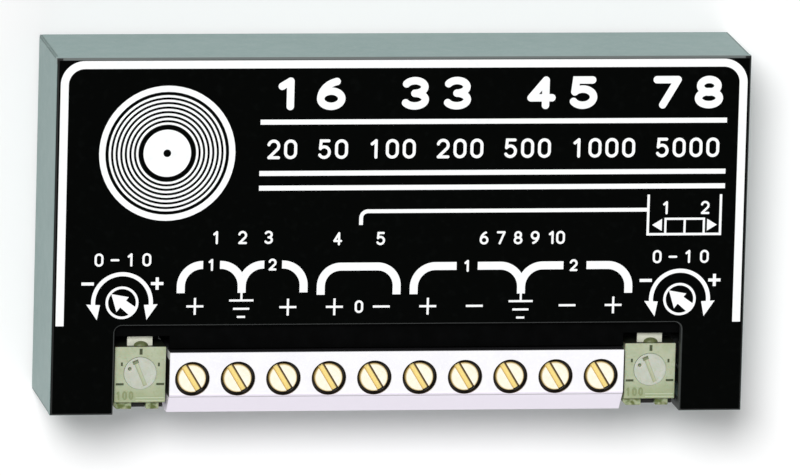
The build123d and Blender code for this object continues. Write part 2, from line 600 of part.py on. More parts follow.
def trimmer_leads(x):
    """Wiper tab bent down behind the body, and the two track legs under its front."""
    with BuildPart() as leads:
        tab_top = TRIMMER_TOP - WIPER_TAB_DROP
        with BuildSketch(Plane(origin=(x, 0, tab_top - WIPER_TAB_THICKNESS))):
            with Locations((0, TRIMMER_REAR + WIPER_TAB_LENGTH / 2)):
                Rectangle(WIPER_TAB_WIDTH, WIPER_TAB_LENGTH)
        extrude(amount=WIPER_TAB_THICKNESS)
        with BuildSketch(Plane(origin=(x, WIPER_LEG_Y, LEAD_END))):
            Rectangle(TRIMMER_LEG_WIDTH, TRIMMER_LEG_THICKNESS)
        extrude(amount=tab_top - WIPER_TAB_THICKNESS - LEAD_END)
        with BuildSketch(Plane(origin=(x, TRIMMER_LEG_Y, LEAD_END))):
            with GridLocations(TRIMMER_LEG_SPACING, 1, 2, 1):
                Rectangle(TRIMMER_LEG_WIDTH, TRIMMER_LEG_THICKNESS)
        extrude(amount=TRIMMER_BOTTOM - LEAD_END)
    return leads


for side_name, side in (("left", -1), ("right", 1)):
    body = trimmer_body(side * TRIMMER_X)
    body.part.label = f"gain_{side_name}_body"
    export_step(body.part, f"parts/gain_{side_name}_body.step")
    rotor = trimmer_rotor(side * TRIMMER_X)
    rotor.part.label = f"gain_{side_name}_rotor"
    export_step(rotor.part, f"parts/gain_{side_name}_rotor.step")
    leads = trimmer_leads(side * TRIMMER_X)
    leads.part.label = f"gain_{side_name}_leads"
    export_step(leads.part, f"parts/gain_{side_name}_leads.step")

# ------------------------------------------------------------------ ground switch
# Metal case open to the board, with a window towards the case wall for the slider's tip
with BuildPart() as ground_switch_case:
    with BuildSketch(Plane.XY.offset(SWITCH_BASE_TOP)):
        with Locations((SWITCH_X, SWITCH_Y)):
            Rectangle(SWITCH_DEPTH, SWITCH_LENGTH)
    extrude(amount=SWITCH_TOP - SWITCH_BASE_TOP)
    with BuildSketch(Plane.XY.offset(SWITCH_BASE_TOP)):
        with Locations((SWITCH_X, SWITCH_Y)):
            Rectangle(SWITCH_DEPTH - 2 * SWITCH_WALL, SWITCH_LENGTH - 2 * SWITCH_WALL)
    extrude(amount=SWITCH_TOP - SWITCH_WALL - SWITCH_BASE_TOP, mode=Mode.SUBTRACT)
    slot_middle = (SWITCH_FRONT_X, SWITCH_Y, SLIDER_AXIS_Z)
    with BuildSketch(Plane(origin=slot_middle, x_dir=(0, 1, 0), z_dir=(1, 0, 0))):
        Rectangle(
            SLIDER_TIP + SWITCH_TRAVEL + 2 * SLIDER_CLEARANCE,
            SLIDER_TIP + 2 * SLIDER_CLEARANCE,
        )
    extrude(amount=-SWITCH_WALL, mode=Mode.SUBTRACT)
ground_switch_case.part.label = "ground_switch_case"
export_step(ground_switch_case.part, "parts/ground_switch_case.step")

with BuildPart() as ground_switch_base:
    with BuildSketch(Plane.XY.offset(BOARD_TOP)):
        with Locations((SWITCH_X, SWITCH_Y)):
            Rectangle(SWITCH_DEPTH, SWITCH_LENGTH)
            with GridLocations(1, SWITCH_PIN_PITCH, 1, 3):
                Rectangle(
                    SWITCH_PIN + 2 * THREAD_CLEARANCE,
                    SWITCH_PIN + 2 * THREAD_CLEARANCE,
                    mode=Mode.SUBTRACT,
                )
    extrude(amount=SWITCH_BASE_HEIGHT)
ground_switch_base.part.label = "ground_switch_base"
export_step(ground_switch_base.part, "parts/ground_switch_base.step")

with BuildPart() as ground_switch_contacts:
    with BuildSketch(Plane.XY.offset(LEAD_END)):
        with Locations((SWITCH_X, SWITCH_Y)):
            with GridLocations(1, SWITCH_PIN_PITCH, 1, 3):
                Rectangle(SWITCH_PIN, SWITCH_PIN)
    extrude(amount=SLIDER_BOTTOM - SLIDER_CLEARANCE - LEAD_END)
ground_switch_contacts.part.label = "ground_switch_contacts"
export_step(ground_switch_contacts.part, "parts/ground_switch_contacts.step")

with BuildPart() as ground_switch_slider:
    block_depth = SWITCH_DEPTH - 2 * SWITCH_WALL - 2 * SLIDER_CLEARANCE
    with BuildSketch(Plane.XY.offset(SLIDER_BOTTOM)):
        with Locations((SWITCH_X, SLIDER_Y)):
            Rectangle(block_depth, SLIDER_LENGTH)
    extrude(amount=SLIDER_TOP - SLIDER_BOTTOM)
    tip_root = (SWITCH_X, SLIDER_Y, SLIDER_AXIS_Z)
    with BuildSketch(Plane(origin=tip_root, x_dir=(0, 1, 0), z_dir=(1, 0, 0))):
        Rectangle(SLIDER_TIP, SLIDER_TIP)
    extrude(amount=FACE_WIDTH / 2 - SLIDER_TIP_RECESS - SWITCH_X)
ground_switch_slider.part.label = "ground_switch_slider"
export_step(ground_switch_slider.part, "parts/ground_switch_slider.step")

# ------------------------------------------------------------------ electronic parts
with BuildPart() as film_capacitors:
    with BuildSketch(Plane.XY.offset(BOARD_TOP)):
        with Locations([(x, FILM_Y) for x in FILM_X]):
            Rectangle(FILM_WIDTH, FILM_DEPTH)
    extrude(amount=FILM_HEIGHT)
film_capacitors.part.label = "film_capacitors"
export_step(film_capacitors.part, "parts/film_capacitors.step")

# Electrolytic cans standing on moulded bases with two cut corners
with BuildPart() as capacitor_bases:
    with BuildSketch(Plane.XY.offset(BOARD_TOP)):
        for can_x in CAN_X:
            with BuildSketch(mode=Mode.PRIVATE) as base_outline:
                can_base = Rectangle(CAN_BASE_WIDTH, CAN_BASE_WIDTH)
                chamfer(can_base.vertices().group_by(Axis.X)[-1], CAN_BASE_CORNER)
            with Locations((can_x, CAN_Y)):
                add(base_outline.sketch)
    extrude(amount=CAN_BASE_HEIGHT)
capacitor_bases.part.label = "capacitor_bases"
export_step(capacitor_bases.part, "parts/capacitor_bases.step")

with BuildPart() as electrolytic_capacitors:
    with BuildSketch(Plane.XY.offset(BOARD_TOP + CAN_BASE_HEIGHT)):
        with Locations([(x, CAN_Y) for x in CAN_X]):
            Circle(CAN_DIAMETER / 2)
    extrude(amount=CAN_HEIGHT - CAN_BASE_HEIGHT)
electrolytic_capacitors.part.label = "electrolytic_capacitors"
export_step(electrolytic_capacitors.part, "parts/electrolytic_capacitors.step")

op_amp_bottom = BOARD_TOP + OP_AMP_STANDOFF
with BuildPart() as op_amps:
    with BuildSketch(Plane.XY.offset(op_amp_bottom)):
        with Locations([(x, OP_AMP_Y) for x in OP_AMP_X]):
            Rectangle(OP_AMP_LENGTH, OP_AMP_WIDTH)
    extrude(amount=OP_AMP_HEIGHT)
op_amps.part.label = "op_amps"
export_step(op_amps.part, "parts/op_amps.step")

# Gull-wing leads: flat foot on the board, riser, and a shoulder into the body's side
with BuildPart() as op_amp_leads:
    shoulder_top = OP_AMP_STANDOFF + (OP_AMP_HEIGHT + OP_AMP_LEAD_THICKNESS) / 2
    shoulder_bottom = shoulder_top - OP_AMP_LEAD_THICKNESS
    riser = OP_AMP_LEAD_REACH / 2 - OP_AMP_LEAD_THICKNESS / 2
    for chip_x in OP_AMP_X:
        for pin in range(OP_AMP_PINS_PER_SIDE):
            lead_x = chip_x + (pin - (OP_AMP_PINS_PER_SIDE - 1) / 2) * OP_AMP_LEAD_PITCH
            for side in (-1, 1):
                root = (lead_x, OP_AMP_Y + side * OP_AMP_WIDTH / 2, BOARD_TOP)
                with BuildSketch(Plane(origin=root, x_dir=(0, side, 0), z_dir=(side, 0, 0))):
                    with BuildLine():
                        Polyline(
                            (0, shoulder_bottom),
                            (0, shoulder_top),
                            (riser + OP_AMP_LEAD_THICKNESS, shoulder_top),
                            (riser + OP_AMP_LEAD_THICKNESS, OP_AMP_LEAD_THICKNESS),
                            (OP_AMP_LEAD_REACH, OP_AMP_LEAD_THICKNESS),
                            (OP_AMP_LEAD_REACH, 0),
                            (riser, 0),
                            (riser, shoulder_bottom),
                            close=True,
                        )
                    make_face()
                extrude(amount=OP_AMP_LEAD_WIDTH / 2, both=True)
op_amp_leads.part.label = "op_amp_leads"
export_step(op_amp_leads.part, "parts/op_amp_leads.step")

with BuildPart() as chip_resistors:
    with BuildSketch(Plane.XY.offset(BOARD_TOP)):
        with Locations((0, RESISTOR_Y)):
            with GridLocations(RESISTOR_X_SPACING, RESISTOR_Y_SPACING, RESISTOR_COLUMNS, 2):
                Rectangle(RESISTOR_LENGTH, RESISTOR_WIDTH)
    extrude(amount=RESISTOR_HEIGHT)
chip_resistors.part.label = "chip_resistors"
export_step(chip_resistors.part, "parts/chip_resistors.step")

# One decoupling capacitor between each pair of neighbouring op-amps
with BuildPart() as chip_capacitors:
    with BuildSketch(Plane.XY.offset(BOARD_TOP)):
        with Locations((0, OP_AMP_Y)):
            with GridLocations(OP_AMP_SPACING, 1, OP_AMP_COUNT - 1, 1):
                Rectangle(CHIP_CAPACITOR_SIZE, 2 * CHIP_CAPACITOR_SIZE)
    extrude(amount=CHIP_CAPACITOR_HEIGHT)
chip_capacitors.part.label = "chip_capacitors"
export_step(chip_capacitors.part, "parts/chip_capacitors.step")

with BuildPart() as power_diode:
    with BuildSketch(Plane.XY.offset(BOARD_TOP)):
        with Locations((DIODE_X, POWER_ROW_Y)):
            Rectangle(DIODE_LENGTH, DIODE_WIDTH)
    extrude(amount=DIODE_HEIGHT)
power_diode.part.label = "power_diode"
export_step(power_diode.part, "parts/power_diode.step")

with BuildPart() as voltage_regulator:
    with BuildSketch(Plane.XY.offset(BOARD_TOP)):
        with Locations((REGULATOR_X, POWER_ROW_Y)):
            Rectangle(REGULATOR_LENGTH, REGULATOR_WIDTH)
    extrude(amount=REGULATOR_HEIGHT)
voltage_regulator.part.label = "voltage_regulator"
export_step(voltage_regulator.part, "parts/voltage_regulator.step")
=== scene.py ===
"""The looks of a flat phono preamp module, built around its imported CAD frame.

Lengths are in millimetres in the named values, and in metres (times MM) in the meshes.
The face's print is generic: numerals, plus, minus and ground signs, brackets and a record disc.
"""

import json
import math

import bmesh
import bpy
from mathutils import Matrix, Vector
from mathutils.geometry import delaunay_2d_cdt


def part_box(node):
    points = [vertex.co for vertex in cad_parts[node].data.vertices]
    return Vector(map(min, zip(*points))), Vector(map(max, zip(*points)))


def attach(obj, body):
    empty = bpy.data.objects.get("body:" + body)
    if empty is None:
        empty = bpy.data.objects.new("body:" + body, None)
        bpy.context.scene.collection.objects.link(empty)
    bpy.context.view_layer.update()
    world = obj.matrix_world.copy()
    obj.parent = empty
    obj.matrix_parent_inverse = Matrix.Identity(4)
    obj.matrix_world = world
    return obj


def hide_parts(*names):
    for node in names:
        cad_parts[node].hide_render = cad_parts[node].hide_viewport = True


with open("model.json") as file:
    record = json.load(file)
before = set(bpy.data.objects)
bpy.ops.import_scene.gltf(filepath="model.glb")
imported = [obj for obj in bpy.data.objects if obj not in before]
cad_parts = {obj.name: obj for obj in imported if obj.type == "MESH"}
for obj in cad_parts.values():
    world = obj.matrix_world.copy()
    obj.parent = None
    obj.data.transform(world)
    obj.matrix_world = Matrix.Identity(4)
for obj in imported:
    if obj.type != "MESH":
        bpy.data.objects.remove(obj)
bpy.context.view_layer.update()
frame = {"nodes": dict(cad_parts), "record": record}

MM = 0.001
WELD = 1e-4  # points of a CAD mesh this close are one, and heights count as the same
SAME_POINT = 1e-5  # the same for points of the flat print

# ---------------- camera, light and floor
CAMERA_DISTANCE = 1500.0
CAMERA_TARGET = (1.107, -1.763, 7.62)
CAMERA_LEAN = (-0.169, 0.2028)  # radians from straight above, to the left and to the rear
CAMERA_ROLL = 0.0268
CAMERA_LENS = 619.0
CAMERA_NEAR, CAMERA_FAR = 10.0, 100000.0
KEY_LIGHT = ((-0.30, 0.44), 2.6, 0.36)  # lean as a share of its height, strength, size in radians
FILL_LIGHT = ((0.4, -0.9), 0.56, 0.9)  # the weak light from the front right
SKY_STRENGTH = 0.28
FLOOR_HALF_WIDTH = 6000.0
FLOOR_DROP = 0.02  # the floor lies just below the pad's underside

# ---------------- the printed face
INK_THICKNESS = 0.025
INK_SINK = 0.004  # how far the ink reaches into the film below it
ARC_STEP = 6.0  # degrees between the points of a printed arc
RING_POINTS = 60
SHARPEST_TURN = -0.05  # cosine of the sharpest turn that one stroke goes round
NUMERAL_WIDTH = 0.6  # the width of a numeral's cell, as a share of its height
CAPTION_HEIGHT, CAPTION_STROKE = 1.46, 0.24
CAPTION_BOTTOM = -1.0

BORDER = (-37.25, 37.22, 18.99, -9.75, 2.2, 0.88)  # left, right, top, foot, corner radius, stroke

ROUNDEL_CENTRE = (-25.905, 9.257)
ROUNDEL_RADIUS, ROUNDEL_RIM = 7.44, 0.68
GROOVE_OUTER, GROOVE_PITCH, GROOVE_COUNT, GROOVE_STROKE = 6.28, 0.5, 7, 0.25
DISC_LABEL_RADIUS, SPINDLE_RADIUS = 2.6, 0.42

TITLE = (-14.3, 35.0, 13.94, 3.6, 0.82, 1.38)  # left, right, bottom, height, stroke, widening
SCALE = (-15.0, 34.75, 8.55, 2.16, 0.33)
RULE_LEFT, RULE_RIGHT = -15.79, 35.52
RULE_HEIGHTS = (12.63, 6.98, 5.36)
RULE_STROKE = 0.55

LINK = (-4.50, 27.1, 2.75, 1.24, 0.75, 0.42)  # from the power terminals to the switch, as BORDER
LEGEND_LEFT, LEGEND_RIGHT = 27.12, 35.12
LEGEND_TOP, LEGEND_BOTTOM, LEGEND_STROKE = 4.42, 0.02, 0.27
SWITCH_BOX = (29.06, 0.06, 33.31, 1.72)  # left, bottom, right, top
SWITCH_BOX_STROKE = 0.24
POINTER_TIPS = ((27.59, 1.05, 28.67), (34.75, 1.05, 33.66))  # tip, height and base of each
POINTER_HALF_HEIGHT = 0.66
POSITION_X, POSITION_BOTTOM = (29.1, 33.4), 2.23

CHANNEL_HEIGHT, CHANNEL_STROKE = 1.32, 0.24
SIGN_REACH, SIGN_STROKE = 0.93, 0.24
BRACKET_RADIUS, BRACKET_STROKE = 2.35, 0.88
BRACKET_DROP = 3.1  # from a bracket's top line to the foot of its arms
BRACKET_TOP = -3.36
GROUND_BARS = ((1.33, 0.0), (0.89, 0.92), (0.45, 1.82))  # half width and drop of each bar
GROUND_STEM, GROUND_STROKE = 0.85, 0.23
INPUT_BRACKET_TOP = -3.08
INPUT_BRACKETS = ((-24.09, -21.7), (-19.85, -17.42), (-17.42, -15.0), (-13.05, -10.63))
INPUT_CHANNEL_X = (-20.77, -14.1)
INPUT_SIGNS = (("+", -22.5, -7.65), ("+", -12.3, -7.8))
INPUT_NUMBERS = (-20.8, -14.1, -0.8)  # left, right and bottom of the row
SUPPLY_BRACKET = (-8.74, -0.4, BRACKET_TOP, BRACKET_TOP - BRACKET_DROP, 2.15, BRACKET_STROKE)
SUPPLY_SIGNS = (("+", -7.19, -7.8), ("-", -2.03, -7.8))
SUPPLY_ZERO_X, SUPPLY_ZERO_BOTTOM, SUPPLY_ZERO_HEIGHT = -4.49, -8.5, 1.4
SUPPLY_NUMBERS = (-7.5, -1.8, CAPTION_BOTTOM)
OUTPUT_BRACKETS = ((1.48, 6.14), (8.47, 13.31), (13.31, 17.92), (20.47, 25.16))
OUTPUT_CHANNEL_X = (7.33, 19.04)
OUTPUT_SIGNS = (("+", 3.08, -7.8), ("-", 8.21, -7.8), ("-", 18.45, -7.8), ("+", 23.54, -7.8))
OUTPUT_NUMBERS = (8.6, 18.0, CAPTION_BOTTOM)

GAIN_CENTRES = (-30.48, 30.87)
GAIN_Y = -7.2
GAIN_ARC_RADIUS, GAIN_ARC_STROKE = 3.16, 0.45
GAIN_ARC_ENDS = (-5, 185)
GAIN_ARROWHEAD = ((2.4, -0.25), (3.9, -0.18), (2.72, -1.9))
GAIN_RING_RADIUS, GAIN_RING_STROKE = 1.66, 0.28
GAIN_POINTER_HEAD = ((-1.19, 0.97), (0.74, 0.62), (-0.59, -1.03))
GAIN_POINTER_SHAFT = ((-0.25, -0.45), (0.35, 0.3), (1.5, -0.5), (0.85, -1.42))
GAIN_SIGN_X, GAIN_SIGN_Y, GAIN_SIGN_REACH, GAIN_SIGN_STROKE = 3.8, -5.1, 0.68, 0.34
GAIN_CAPTION_BOTTOM, GAIN_CAPTION_HALF = -3.2, 3.1

# ---------------- small parts
FLAT_ANGLE = 0.5  # degrees, up to which faces are merged into one
ROUNDED_ANGLE = 28  # degrees, from which an edge is sharp enough to be rounded
SHADED_ANGLE = 35  # degrees, from which an edge is shaded as sharp
CASE_EDGE, FILM_EDGE = 0.06, 0.02
OVERSHOOT = 1.0  # how far a cutter passes the body that it cuts
ABOVE_MARGIN = 0.02  # how far below a slot's floor the rounding of its edges ends

SCREW_COUNT, SCREW_SEGMENTS = 10, 52
SCREW_HEAD_HEIGHT = 1.0
SCREW_EDGE, SCREW_EDGE_MIDDLE = 0.12, 0.036  # the size of the round rim, and its middle point
SCREW_SLOT_EDGE = 0.035
SLOT_WIDTH, SLOT_DEPTH, SLOT_ANGLE = 0.75, 0.5, -58.4
SHANK_DIAMETER, THREAD_PITCH, THREAD_DEPTH = 2.4, 0.45, 0.16
THREAD_STEPS, THREAD_SEGMENTS = 6, 24  # points along one turn and round the shank

TRIMMER_TICKS = (  # x and y from the rotor's axis, width and length of each mark
    (0.05, 2.38, 0.32, 0.66), (-2.03, 1.0, 0.22, 0.4), (2.03, 0.95, 0.22, 0.4),
    (-2.22, -1.22, 0.86, 0.24), (2.22, -1.22, 0.86, 0.24))
TRIMMER_RIDGES = ((1.1, -2.72, 3.1, 0.13), (1.1, -3.02, 3.1, 0.11))  # the same, raised lines
TICK_RISE, RIDGE_RISE = 0.012, 0.05
TRIMMER_NUMERALS = (-2.6, -0.72, -2.92, 0.92, 0.17, 0.72)  # as numerals() takes them
TRIMMER_NUMERALS_RISE = 0.11
TRIMMER_MARK_SINK = 0.05  # how far each mark reaches into the body's top
TRIMMER_EDGE, TRIMMER_BASE_EDGE, TRIMMER_MARK_EDGE = 0.08, 0.05, 0.01
TRIMMER_STEP, TRIMMER_STEP_DROP = 0.85, 0.6  # length and depth of the step in front
TRIMMER_SIDE_NOTCH = 0.6
TRIMMER_BASE_HEIGHT, TRIMMER_BASE_INSET = 0.5, 0.1
TRIMMER_POST_DROP = 1.3  # from the body's top down to the dark posts between its feet, which stand in for the shade there
TRIMMER_GAP_HALF = 0.72
ROTOR_SEGMENTS, DIMPLE_SEGMENTS = 48, 15
ROTOR_THICKNESS, ROTOR_HUB_RADIUS = 0.85, 0.8
ROTOR_FLANGE, ROTOR_FLANGE_THICKNESS = 0.085, 0.065
ROTOR_RIM_DROP, ROTOR_RIM_INSET = 0.03, 0.04  # the slope at the flange's edge
ROTOR_EDGE = 0.03
ROTOR_SLOT_ANGLE = 113.0
ROTOR_SLOT = (-1.5, 1.2, 0.21, 0.16)  # start, end, half width and depth
ROTOR_NOTCH = (1.12, 1.52, 0.32, 0.4)  # the same for the deep notch that marks its tip
ROTOR_DIMPLE = (-1.16, 0.49, 0.2)  # x, y and radius
ROTOR_DIMPLE_DEPTH = 0.4
TAB_BEAD = (0.8, 0.5, 0.55)  # reach in x and y and height of the bead on the wiper tab
TAB_BEAD_OFFSET = 0.12
BEAD_SEGMENTS, BEAD_STEP = 24, 15  # points round it, and degrees between its rings
BEAD_SINK = 0.1  # how far it reaches into the tab, as a share of its height

BASE_SCREW = (2.3, 0.65, 0.2, 1.25)  # head's radius, height and sloped rim, shank's radius
BASE_SCREW_SEGMENTS, BASE_SCREW_EDGE = 40, 0.04
HEX_SOCKET_ACROSS, HEX_SOCKET_DEPTH = 2.0, 0.42
SLIDER_GROOVES, SLIDER_GROOVE_PITCH, SLIDER_GROOVE_DEPTH = 3, 0.5, 0.18
SLIDER_GROOVE_MOUTH, SLIDER_EDGE = 0.02, 0.04
SEAM_WIDTH, SEAM_REACH = 0.24, 0.9  # the filled seam at each corner of the cover
SEAM_SET_BACK, SEAM_CHAMFER, SEAM_EDGE = 0.02, 0.06, 0.02
SEAM_FOOT, SEAM_TOP_DROP = 0.05, 1.0  # its ends, from the cover's lower edge and from its top


def arc(cx, cy, radius, start, end, height=None):
    """Points along an arc, from one angle in degrees to another; height is its radius along y."""
    steps = max(2, math.ceil(abs(end - start) / ARC_STEP))
    angles = [math.radians(start + (end - start) * i / steps) for i in range(steps + 1)]
    return [(cx + radius * math.cos(a), cy + (height or radius) * math.sin(a)) for a in angles]


def ring(cx, cy, radius, count=RING_POINTS):
    """Evenly spaced points round a circle."""
    angles = [math.tau * i / count for i in range(count)]
    return [(cx + radius * math.cos(a), cy + radius * math.sin(a)) for a in angles]


def way_between(a, b):
    """The unit vector from one point to another."""
    return (Vector(b) - Vector(a)).normalized()


def parted(points):
    """A line of points cut into several where it turns back on itself."""
    parts = [[points[0]]]
    for before, point, after in zip(points, points[1:], points[2:]):
        parts[-1].append(point)
        if way_between(before, point).dot(way_between(point, after)) < SHARPEST_TURN:
            parts.append([point])
    parts[-1].append(points[-1])
    return parts


def followers(items, closed):
    """The next item after each, where the first follows the last of a closed line."""
    return items[1:] + items[:1] if closed else items[1:]


def ribbon(points, width, closed=False, round_ends=False):
    """The convex polygons of a stroke of one width along a line of points."""
    line = [Vector(p) for p in points]
    ways = [way_between(a, b) for a, b in zip(line, followers(line, closed))]
    arriving = ways[-1:] + ways if closed else ways[:1] + ways
    leaving = ways if closed else ways + ways[-1:]
    edges = []
    for point, before, after in zip(line, arriving, leaving):
        way = (before + after).normalized()
        side = Vector((-way.y, way.x)) * (width / 2 / way.dot(before))
        edges.append((point + side, point - side))
    polygons = [[a[0], a[1], b[1], b[0]] for a, b in zip(edges, followers(edges, closed))]
    if round_ends:
        polygons += [ring(*end, width / 2) for end in (line[0], line[-1])]
    return polygons


def rectangle(left, bottom, right, top):
    """One rectangle as a list of one polygon."""
    return [[(left, bottom), (right, bottom), (right, top), (left, top)]]


def minus(cx, cy, reach=SIGN_REACH, stroke=SIGN_STROKE):
    """The bar of a minus sign."""
    return rectangle(cx - reach, cy - stroke / 2, cx + reach, cy + stroke / 2)


def plus(cx, cy, reach=SIGN_REACH, stroke=SIGN_STROKE):
    """The two crossing bars of a plus sign."""
    return minus(cx, cy, reach, stroke) + minus(cx, cy, stroke / 2, 2 * reach)


def turned(paths):
    """The paths of a numeral upside down in its own cell."""
    return [[(NUMERAL_WIDTH - x, 1 - y) for x, y in path] for path in paths]


SIX = [arc(0.3, 0.3, 0.3, 0, 360), arc(0.6, 0.3, 0.6, 180, 104, 0.7)]
NUMERALS = {  # centre lines in a cell 0.6 wide and 1 high
    "0": [arc(0.3, 0.7, 0.3, 0, 180) + arc(0.3, 0.3, 0.3, 180, 360) + [(0.6, 0.7)]],
    "1": [[(0.1, 0.8), (0.34, 1.0), (0.34, 0.0)]],
    "2": [arc(0.3, 0.7, 0.3, 165, -38) + [(0.02, 0.0), (0.6, 0.0)]],
    "3": [arc(0.28, 0.75, 0.28, 150, -90, 0.25), arc(0.28, 0.25, 0.3, 90, -150, 0.25)],
    "4": [[(0.6, 0.3), (0.0, 0.3), (0.42, 1.0), (0.42, 0.0)]],
    "5": [[(0.55, 1.0), (0.09, 1.0), (0.05, 0.53)], arc(0.28, 0.32, 0.31, 138, -148, 0.32)],
    "6": SIX,
    "7": [[(0.0, 1.0), (0.6, 1.0), (0.18, 0.0)]],
    "8": [ring(0.3, 0.75, 0.25) + [(0.55, 0.75)], arc(0.3, 0.26, 0.3, 0, 360, 0.26)],
    "9": turned(SIX),
    "-": [[(0.0, 0.48), (0.6, 0.48)]],
    " ": [],
}


def numerals(text, left, right, bottom, height=CAPTION_HEIGHT, stroke=CAPTION_STROKE, wide=1.0):
    """A line of numerals spread evenly from left to right."""
    scale = height - stroke
    cell = NUMERAL_WIDTH * scale * wide + stroke
    advance = (right - left - cell) / max(1, len(text) - 1)
    polygons = []
    for i, character in enumerate(text):
        x, y = left + stroke / 2 + i * advance, bottom + stroke / 2
        for path in NUMERALS[character]:
            for part in parted([(x + px * scale * wide, y + py * scale) for px, py in path]):
                polygons += ribbon(part, stroke, round_ends=True)
    return polygons


def numeral(digit, cx, bottom, height=CAPTION_HEIGHT, stroke=CAPTION_STROKE):
    """One numeral centred on cx."""
    left = cx - (NUMERAL_WIDTH * (height - stroke) + stroke) / 2
    return numerals(digit, left, left, bottom, height, stroke)


def joined(polygons):
    """Vertices and faces of the union of flat polygons that may overlap."""
    points, faces = [], []
    for polygon in polygons:
        corners = [Vector(p) for p in polygon]
        area = sum(a.cross(b) for a, b in zip(corners, followers(corners, closed=True)))
        faces.append(list(range(len(points), len(points) + len(corners))))
        points += corners if area > 0 else corners[::-1]
    found = delaunay_2d_cdt(points, [], faces, 0, SAME_POINT)
    vertices, triangles, origins = found[0], found[2], found[5]
    return vertices, [t for t, origin in zip(triangles, origins) if origin]


# ---------------- pieces
def in_scene(name, data):
    """A new object in the scene."""
    made = bpy.data.objects.new(name, data)
    bpy.context.scene.collection.objects.link(made)
    return made


def finish_piece(name, bm, material, body="root", replaces=(), smooth=True):
    """Turns a bmesh in metres into a named piece that rides on a body."""
    mesh = bpy.data.meshes.new(name)
    if smooth:
        for face in bm.faces:
            face.smooth = True
        for edge in bm.edges:
            if len(edge.link_faces) == 2 and edge.calc_face_angle() > math.radians(SHADED_ANGLE):
                edge.smooth = False
    bm.to_mesh(mesh)
    bm.free()
    piece = in_scene(name, mesh)
    mesh.materials.append(material)
    if smooth:
        normals = piece.modifiers.new("even_normals", "WEIGHTED_NORMAL")
        normals.keep_sharp = True
        normals.weight = 100
    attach(piece, body)
    if replaces:
        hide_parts(*replaces)
    return piece


def layer(polygons, bottom, top):
    """A flat solid over the union of some polygons, between two heights in metres."""
    vertices, faces = joined(polygons)
    bm = bmesh.new()
    placed = [bm.verts.new((v.x * MM, v.y * MM, bottom)) for v in vertices]
    for face in faces:
        bm.faces.new([placed[i] for i in face])
    bmesh.ops.delete(bm, geom=[v for v in bm.verts if not v.link_faces], context="VERTS")
    bmesh.ops.recalc_face_normals(bm, faces=bm.faces)
    if bm.faces[:][0].normal.z < 0:
        bmesh.ops.reverse_faces(bm, faces=bm.faces)
    lower = list(bm.faces)
    raised = bmesh.ops.extrude_face_region(bm, geom=lower, use_keep_orig=True)
    for v in raised["geom"]:
        if isinstance(v, bmesh.types.BMVert):
            v.co.z = top
    bmesh.ops.reverse_faces(bm, faces=lower)
    return bm


def printed(name, polygons, material):
    """A printed shape: a thin layer of ink from within the film up to the CAD face."""
    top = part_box("face_label")[1].z
    shape = layer(polygons, top - (INK_THICKNESS + INK_SINK) * MM, top)
    finish_piece(name, shape, material, smooth=False)


def rounded(bm, width, above=None):
    """Rounds a bmesh's sharp edges, or only those that reach above a height in mm."""
    sharp = [e for e in bm.edges if len(e.link_faces) == 2
             and e.calc_face_angle() > math.radians(ROUNDED_ANGLE)
             and (above is None or max(v.co.z for v in e.verts) > above * MM)]
    bmesh.ops.bevel(bm, geom=sharp, offset=width * MM, segments=2, profile=0.5,
                    affect="EDGES", clamp_overlap=False)
    return bm


def without_flat_edges(bm):
    """The same bmesh with faces that lie in one plane merged."""
    bmesh.ops.dissolve_limit(bm, angle_limit=math.radians(FLAT_ANGLE), verts=bm.verts,
                             edges=bm.edges)
    return bm


def carved(body, *cutters):
    """The bmesh body minus each of the bmesh cutters."""
    objects = []
    for bm in (body, *cutters):
        mesh = bpy.data.meshes.new("carving")
        bm.to_mesh(mesh)
        bm.free()
        objects.append(in_scene("carving", mesh))
    for tool in objects[1:]:
        cut = objects[0].modifiers.new("cut", "BOOLEAN")
        cut.operation = "DIFFERENCE"
        cut.solver = "EXACT"
        cut.object = tool
    made = bpy.data.meshes.new_from_object(
        objects[0].evaluated_get(bpy.context.evaluated_depsgraph_get()))
    result = bmesh.new()
    result.from_mesh(made)
    for thing in objects:
        bpy.data.objects.remove(thing)
    return without_flat_edges(result)


def softened(node, width, material, body="root", change=None):
    """A CAD node's own shape with its sharp edges rounded, shown in the node's place."""
    bm = bmesh.new()
    bm.from_mesh(frame["nodes"][node].data)
    bmesh.ops.remove_doubles(bm, verts=bm.verts, dist=WELD * MM)
    without_flat_edges(bm)
    if change:
        bm = change(bm)
    rounded(bm, width)
    return finish_piece(node + "_shell", bm, material, body, [node])


# ---------------- materials
CASE_GREEN, CASE_GREEN_DEEP = (0.204, 0.304, 0.292), (0.184, 0.282, 0.270)
DRAWN = (1, 1, 12)  # how a drawn can's streaks are squeezed along each axis
MIX_A, MIX_B, MIX_RESULT = 6, 7, 2  # a Mix node's colour sockets, which share names with others


